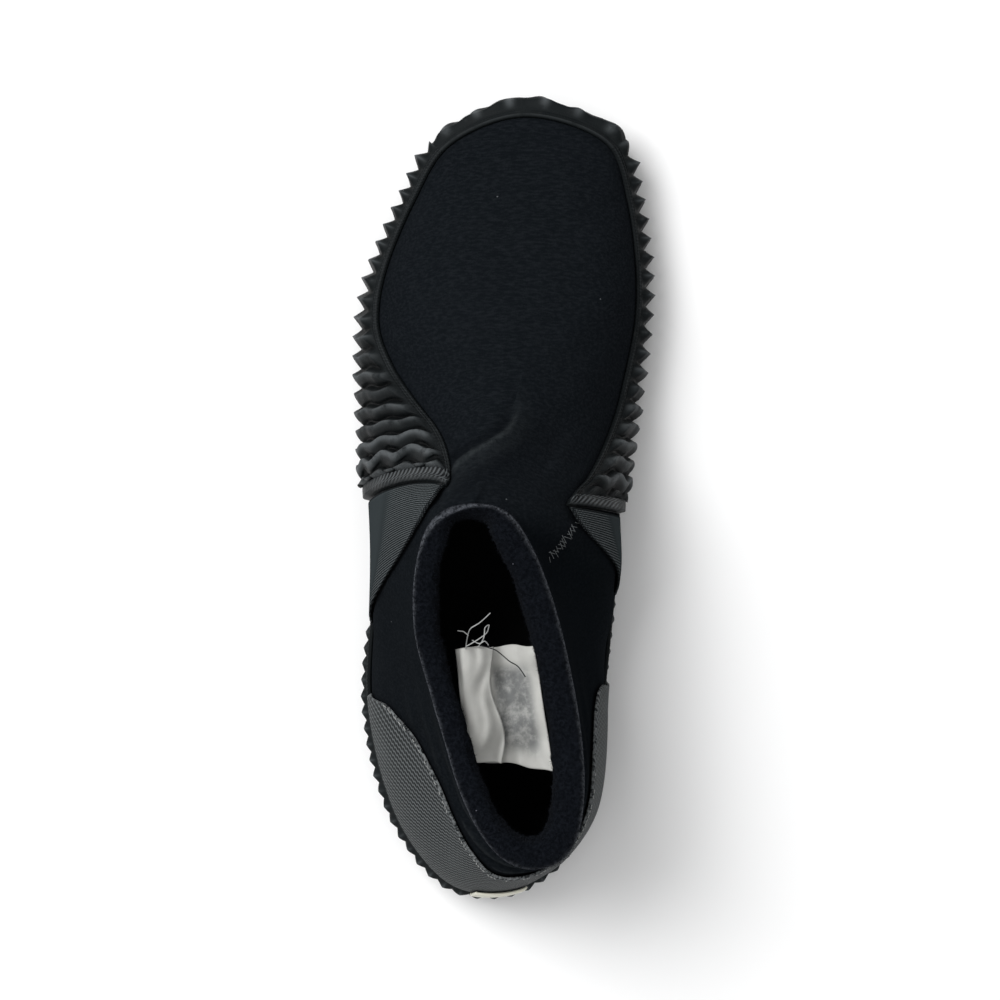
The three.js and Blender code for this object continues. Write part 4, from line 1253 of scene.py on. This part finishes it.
tone = painted(
    tree,
    blend(tree, noise(tree, place, 34.0, 4.0), (0.026, 0.0315, 0.034), (0.035, 0.042, 0.045)),
    (times(tree, scratch, 0.3), 0.07, 0.074, 0.075),
    (times(tree, pressed, 0.85), 0.0045, 0.006, 0.0068),
    (ramp(tree, dots, 0.15, 0.5, 0.0, 0.95), 0.12, 0.133, 0.138),
    (times(tree, ramp(tree, border, 0.35, 0.6), 0.75), 0.006, 0.0072, 0.0078),
    (times(tree, stitches, 0.6), 0.06, 0.066, 0.07),
)
grain = sums(tree, "MULTIPLY_ADD", noise(tree, place, 1500.0), 0.25, times(tree, dots, 0.5))
finish_surface(tree, shader, tone, grain, 0.5, 0.0003)
hand_over(saddle_outer, saddle_rubber, "saddle_rubber", "saddle_outer")
hand_over(saddle_inner, saddle_rubber, "saddle_rubber", "saddle_inner")

# ---------------------------------------------------------------- Heel counter
# A cup of open mesh cloth faced with grey rubber, glued round the heel to keep the bootie from sagging.
# Its cells are staggered in rows, and the cut edge shows pale threads.
counter_thickness = 1.4
cell_width = 2.5
cell_height = 1.65
counter_turns = np.linspace(*counter_ends, 361)
counter_low = above_rubber(counter_turns)
counter_high = np.maximum(counter_climb(counter_turns), counter_low + 2 / speed_at(counter_turns, counter_low))
heel_counter = overlay("heel_counter_mesh", counter_turns, counter_low, counter_high, 80, counter_thickness)

counter_rubber, tree, shader = new_material("counter_rubber", **{"Roughness": 0.55, "Specular IOR Level": 0.06})
place, uv, border = object_place(tree), surface_place(tree), mark(tree, "border")
cell_row = sums(tree, "DIVIDE", uv[1], cell_height)
stagger = times(tree, sums(tree, "FLOOR", cell_row), 0.5)
cell_column = sums(tree, "ADD", sums(tree, "DIVIDE", uv[0], cell_width), stagger)
cell_across, cell_up = (sums(tree, "SUBTRACT", sums(tree, "FRACT", c), 0.5) for c in (cell_column, cell_row))
cell_across = sums(tree, "MULTIPLY_ADD", cell_up, 0.35, cell_across)
cell_sides = (sums(tree, "POWER", side, 2.0) for side in (times(tree, cell_across, 1.15), cell_up))
cell_far = sums(tree, "SQRT", sums(tree, "ADD", *cell_sides))
patches = noise(tree, place, 45.0, 4.0)
hole = times(tree, ramp(tree, cell_far, 0.55, 0.42), ramp(tree, patches, 0.25, 0.5, 0.85, 1.0))
frayed = times(tree, ramp(tree, border, 0.35, 0.95), ramp(tree, noise(tree, place, 600.0, 4.0, 0.7), 0.4, 0.6))
tone = painted(
    tree,
    blend(tree, patches, (0.088, 0.098, 0.1), (0.132, 0.145, 0.149)),
    (hole, 0.006, 0.0078, 0.0087),
    (times(tree, frayed, 0.75), 0.2, 0.21, 0.215),
)
relief = sums(tree, "SUBTRACT", times(tree, noise(tree, place, 1500.0), 0.3), hole)
finish_surface(tree, shader, tone, relief, 0.8, 0.0005)
hand_over(heel_counter, counter_rubber, "counter_rubber", "heel_counter")

# ---------------------------------------------------------------- Heel plate
# A small bare plate of cream rubber, glued to the counter at the back of the heel.
badge_thickness = 1
badge_width = 18
badge_height = 9
badge_inward = 3
badge_turns = (np.linspace(-badge_width / 2, badge_width / 2, 41) - badge_inward) / feather_length
badge_low = above_rubber(badge_turns)
badge_low = badge_low + 1 / speed_at(badge_turns, badge_low)
badge_high = badge_low + badge_height / speed_at(badge_turns, badge_low)
badge_offset = 2 * overlay_gap + counter_thickness
heel_badge = overlay("heel_plate", badge_turns, badge_low, badge_high, 24, badge_thickness, badge_offset)
badge_rubber, tree, shader = new_material("badge_rubber", **{"Roughness": 0.5, "Specular IOR Level": 0.4})
place = object_place(tree)
tone = blend(tree, noise(tree, place, 120.0, 4.0), (0.6, 0.59, 0.49), (0.7, 0.69, 0.6))
finish_surface(tree, shader, tone, noise(tree, place, 900.0), 0.3, 0.0002)
hand_over(heel_badge, badge_rubber, "badge_rubber", "heel_badge")

# ---------------------------------------------------------------- Label
# A blank strip of white satin tape, sewn by its left edge under the hem on the outer side.
# A flap is folded back over it, and its free end has crumpled across the opening.
label_flap = 13
label_width = 26
label_length = 44
label_corners = {"front": ((-12.4, -49.5), (13.2, -48.6)), "rear": ((-9.2, -86), (19.6, -90.4))}
label_left, label_middle, label_right = 79, 70, 74
LS, LT = np.meshgrid(np.linspace(0, label_flap + label_width, 79), np.linspace(0, 1, 81))
over = np.abs(LS - label_flap) / label_width
over = np.where(LS < label_flap, over * (0.86 + 0.1 * np.sin(8 * LT + 2)), over)
front, rear = (np.array(label_corners[end], float) for end in ("front", "rear"))
label_plan = mix(mix(front[0], front[1], over[..., None]), mix(rear[0], rear[1], over[..., None]), LT[..., None])
label_z = label_left + (label_middle - label_left) * ease(over * 1.7)
label_z += (label_right - label_middle) * ease((over - 0.55) / 0.45)
on_flap = ease((label_flap - LS) / 2.5)
label_z += on_flap * (1.8 + 1.6 * np.sin(np.pi * np.clip(over * 1.6, 0, 1)) + 1.1 * np.sin(11 * LT + 0.4))
label_points = np.concatenate([label_plan, label_z[..., None]], -1)
crumple = ripple(label_points * [1, 0.7, 2], 41, 18, 6, 16, 1.15)
label_points[..., 2] += crumple * (0.5 + 0.5 * over) - 2.2 * bell(over, 0.62, 0.1) * ease((LT - 0.5) / 0.4)
label_points[..., 1] += 0.7 * np.sin(LS * 0.55) * (LT - 0.5)
# The middle of the strip is greyed: it stands for the print, which is left blank, and for painted shade.
tone_shift_mask = ease((LS - label_flap - 10) / 2) * ease((label_flap + 25 - LS) / 4)
tone_shift_mask = tone_shift_mask * ease((LT - 0.1) / 0.15) * ease((0.97 - LT) / 0.2)
label_mesh, _, _ = woven("label", label_points, LS, LT * label_length, {"tone_shift_mask": tone_shift_mask})
label = finish_piece("blank_label", label_mesh, outwards=False)
thicken(label, 0.00025, 0)
satin, tree, shader = new_material(
    "label_satin", **{"Roughness": 0.55, "Specular IOR Level": 0.35, "Sheen Weight": 0.1}
)
place, uv = object_place(tree), surface_place(tree)
# Greyed middle: a stand-in for the print, with painted shade.
print_and_shade = times(tree, mark(tree, "tone_shift_mask"), ramp(tree, noise(tree, place, 260.0, 5.0, 0.7), 0.3, 0.6, 0.5, 1.0))
tone = blend(tree, noise(tree, place, 150.0, 4.0), (0.44, 0.44, 0.42), (0.6, 0.6, 0.57))
tone = painted(tree, tone, (print_and_shade, 0.15, 0.155, 0.155))
weave = times(tree, sine(tree, uv[0], 16.0), sine(tree, uv[1], 16.0))
finish_surface(tree, shader, tone, weave, 0.25, 0.0002)
hand_over(label, satin, "collar_fleece")


def thread_work(name, paths, width):
    """Many fine threads in one mesh, each a three-sided tube along its path."""
    corners, faces = [], []
    for path in paths:
        path = np.array(path, float)
        along = unit(np.gradient(path, axis=0))
        side = unit(np.cross(along, [0.31, 0.42, 0.85]))
        other = np.cross(along, side)
        first = len(corners)
        for k in range(len(path)):
            for a in (0, 2.094, 4.189):
                corners.append(path[k] + width / 2 * (math.cos(a) * side[k] + math.sin(a) * other[k]))
        for k in range(len(path) - 1):
            for c in range(3):
                a, b = first + 3 * k + c, first + 3 * k + (c + 1) % 3
                faces.append((a, b, b + 3, a + 3))
        faces += [(first + 2, first + 1, first), tuple(first + 3 * len(path) - 3 + c for c in range(3))]
    return faced(name, corners, faces)


def eased_path(points, count=24):
    """A thread's path, rounded through a few points."""
    points = np.array(points, float)
    t = np.linspace(0, len(points) - 1, count)
    rows = {"t": np.arange(len(points), dtype=float), **{axis: points[:, k] for k, axis in enumerate("xyz")}}
    return np.stack([read(rows, "t", axis, t) for axis in "xyz"], -1)


white_thread = yarn("thread_white", 0.7, 0.2, 900.0, (0.22, 0.225, 0.225), (0.5, 0.51, 0.5))
black_thread = yarn("thread_black", 0.7, 0.2, 900.0, (0.004, 0.004, 0.005), (0.012, 0.012, 0.014))
grey_thread = yarn("thread_grey", 0.8, 0.1, 600.0, (0.03, 0.034, 0.036), (0.13, 0.14, 0.145))
loose_white = [
    [(-9, -50, 81), (-8.4, -46.5, 84), (-7.4, -43, 86), (-4, -40.6, 87), (-0.5, -37.4, 88)],
    [(-8.6, -48.5, 83), (-5, -46.4, 85), (-1.6, -43.6, 86), (-1, -41.4, 86)]
    + [(-2.4, -42.4, 85), (-2.8, -45.6, 84), (-5, -49, 82)],
    [(-7.8, -45, 85), (-9.6, -43.6, 85.5), (-11.4, -43.4, 84)],
    [(-6.6, -46.5, 84.5), (-4.4, -47.6, 84), (-2.6, -46.8, 84.5), (-1.4, -48.2, 83)],
]
white_ends = thread_work("label_threads_white", [eased_path(path) for path in loose_white], 0.4)
hand_over(white_ends, white_thread, "collar_fleece")
loose_black = [(-4, -48.4, 82), (0.5, -49.6, 82.5), (5.5, -53.6, 81), (8, -55.2, 79.5), (10.5, -58.8, 78.5)]
black_end = thread_work("label_thread_black", [eased_path(loose_black)], 0.42)
hand_over(black_end, black_thread, "collar_fleece")

# Stitches: an overlocked seam from the inner saddle to the collar, and a row along the counter's top edge
upper_form = bmesh.new()
upper_form.from_mesh(upper.data)
upper_tree = BVHTree.FromBMesh(upper_form)
upper_form.free()


def on_upper(x, y):
    """The place on the bootie below a point of the plan."""
    hit = upper_tree.ray_cast(Vector(((x + shift[0]) / 1000, (y + shift[1]) / 1000, 0.2)), Vector((0, 0, -1)))[0]
    return np.array(hit) * 1000 - [shift[0], shift[1], 0]


seam_start, seam_end = np.array([27.4, -8.8]), np.array([18.6, -20.2])
seam_side = np.array([0.8, -0.62])
draw = np.random.default_rng(17)
seam_paths = []
for number, share in enumerate(np.arange(0, 1, 0.05)):
    middle = mix(seam_start, seam_end, share) + draw.normal(scale=0.2, size=2)
    lean = (seam_end - seam_start) * (0.09 if number % 2 else -0.05)
    a = middle - seam_side * draw.uniform(0.5, 1.5)
    b = middle + seam_side * draw.uniform(0.5, 1.5) + lean
    arch = ((t, 0.22 + 0.25 * math.sin(math.pi * t)) for t in (0, 0.33, 0.67, 1))
    seam_paths.append(np.array([on_upper(*mix(a, b, t)) + [0, 0, up] for t, up in arch]))
edge_paths = []
edge_turns = np.arange(counter_ends[0] * 0.6, counter_ends[1] * 0.94, 1.7 / feather_length)
for turn in edge_turns:
    if draw.random() < 0.35:
        continue
    pair = np.array([turn, turn + draw.uniform(0.7, 1.2) / feather_length])
    top = np.maximum(counter_climb(pair), above_rubber(pair) + 2 / speed_at(pair, above_rubber(pair)))
    inset = np.array([draw.uniform(0.5, 1.3), draw.uniform(0.5, 1.3)])
    ends = form_point(pair, top - inset / speed_at(pair, top), overlay_gap + counter_thickness + 0.1)
    edge_paths.append(np.array([ends[0], ends.mean(0) + [0, 0, 0.2], ends[1]]))
hand_over(thread_work("seam_stitches", seam_paths, 0.28), grey_thread, "neoprene")
hand_over(thread_work("counter_stitches", edge_paths, 0.36), white_thread, "counter_rubber")
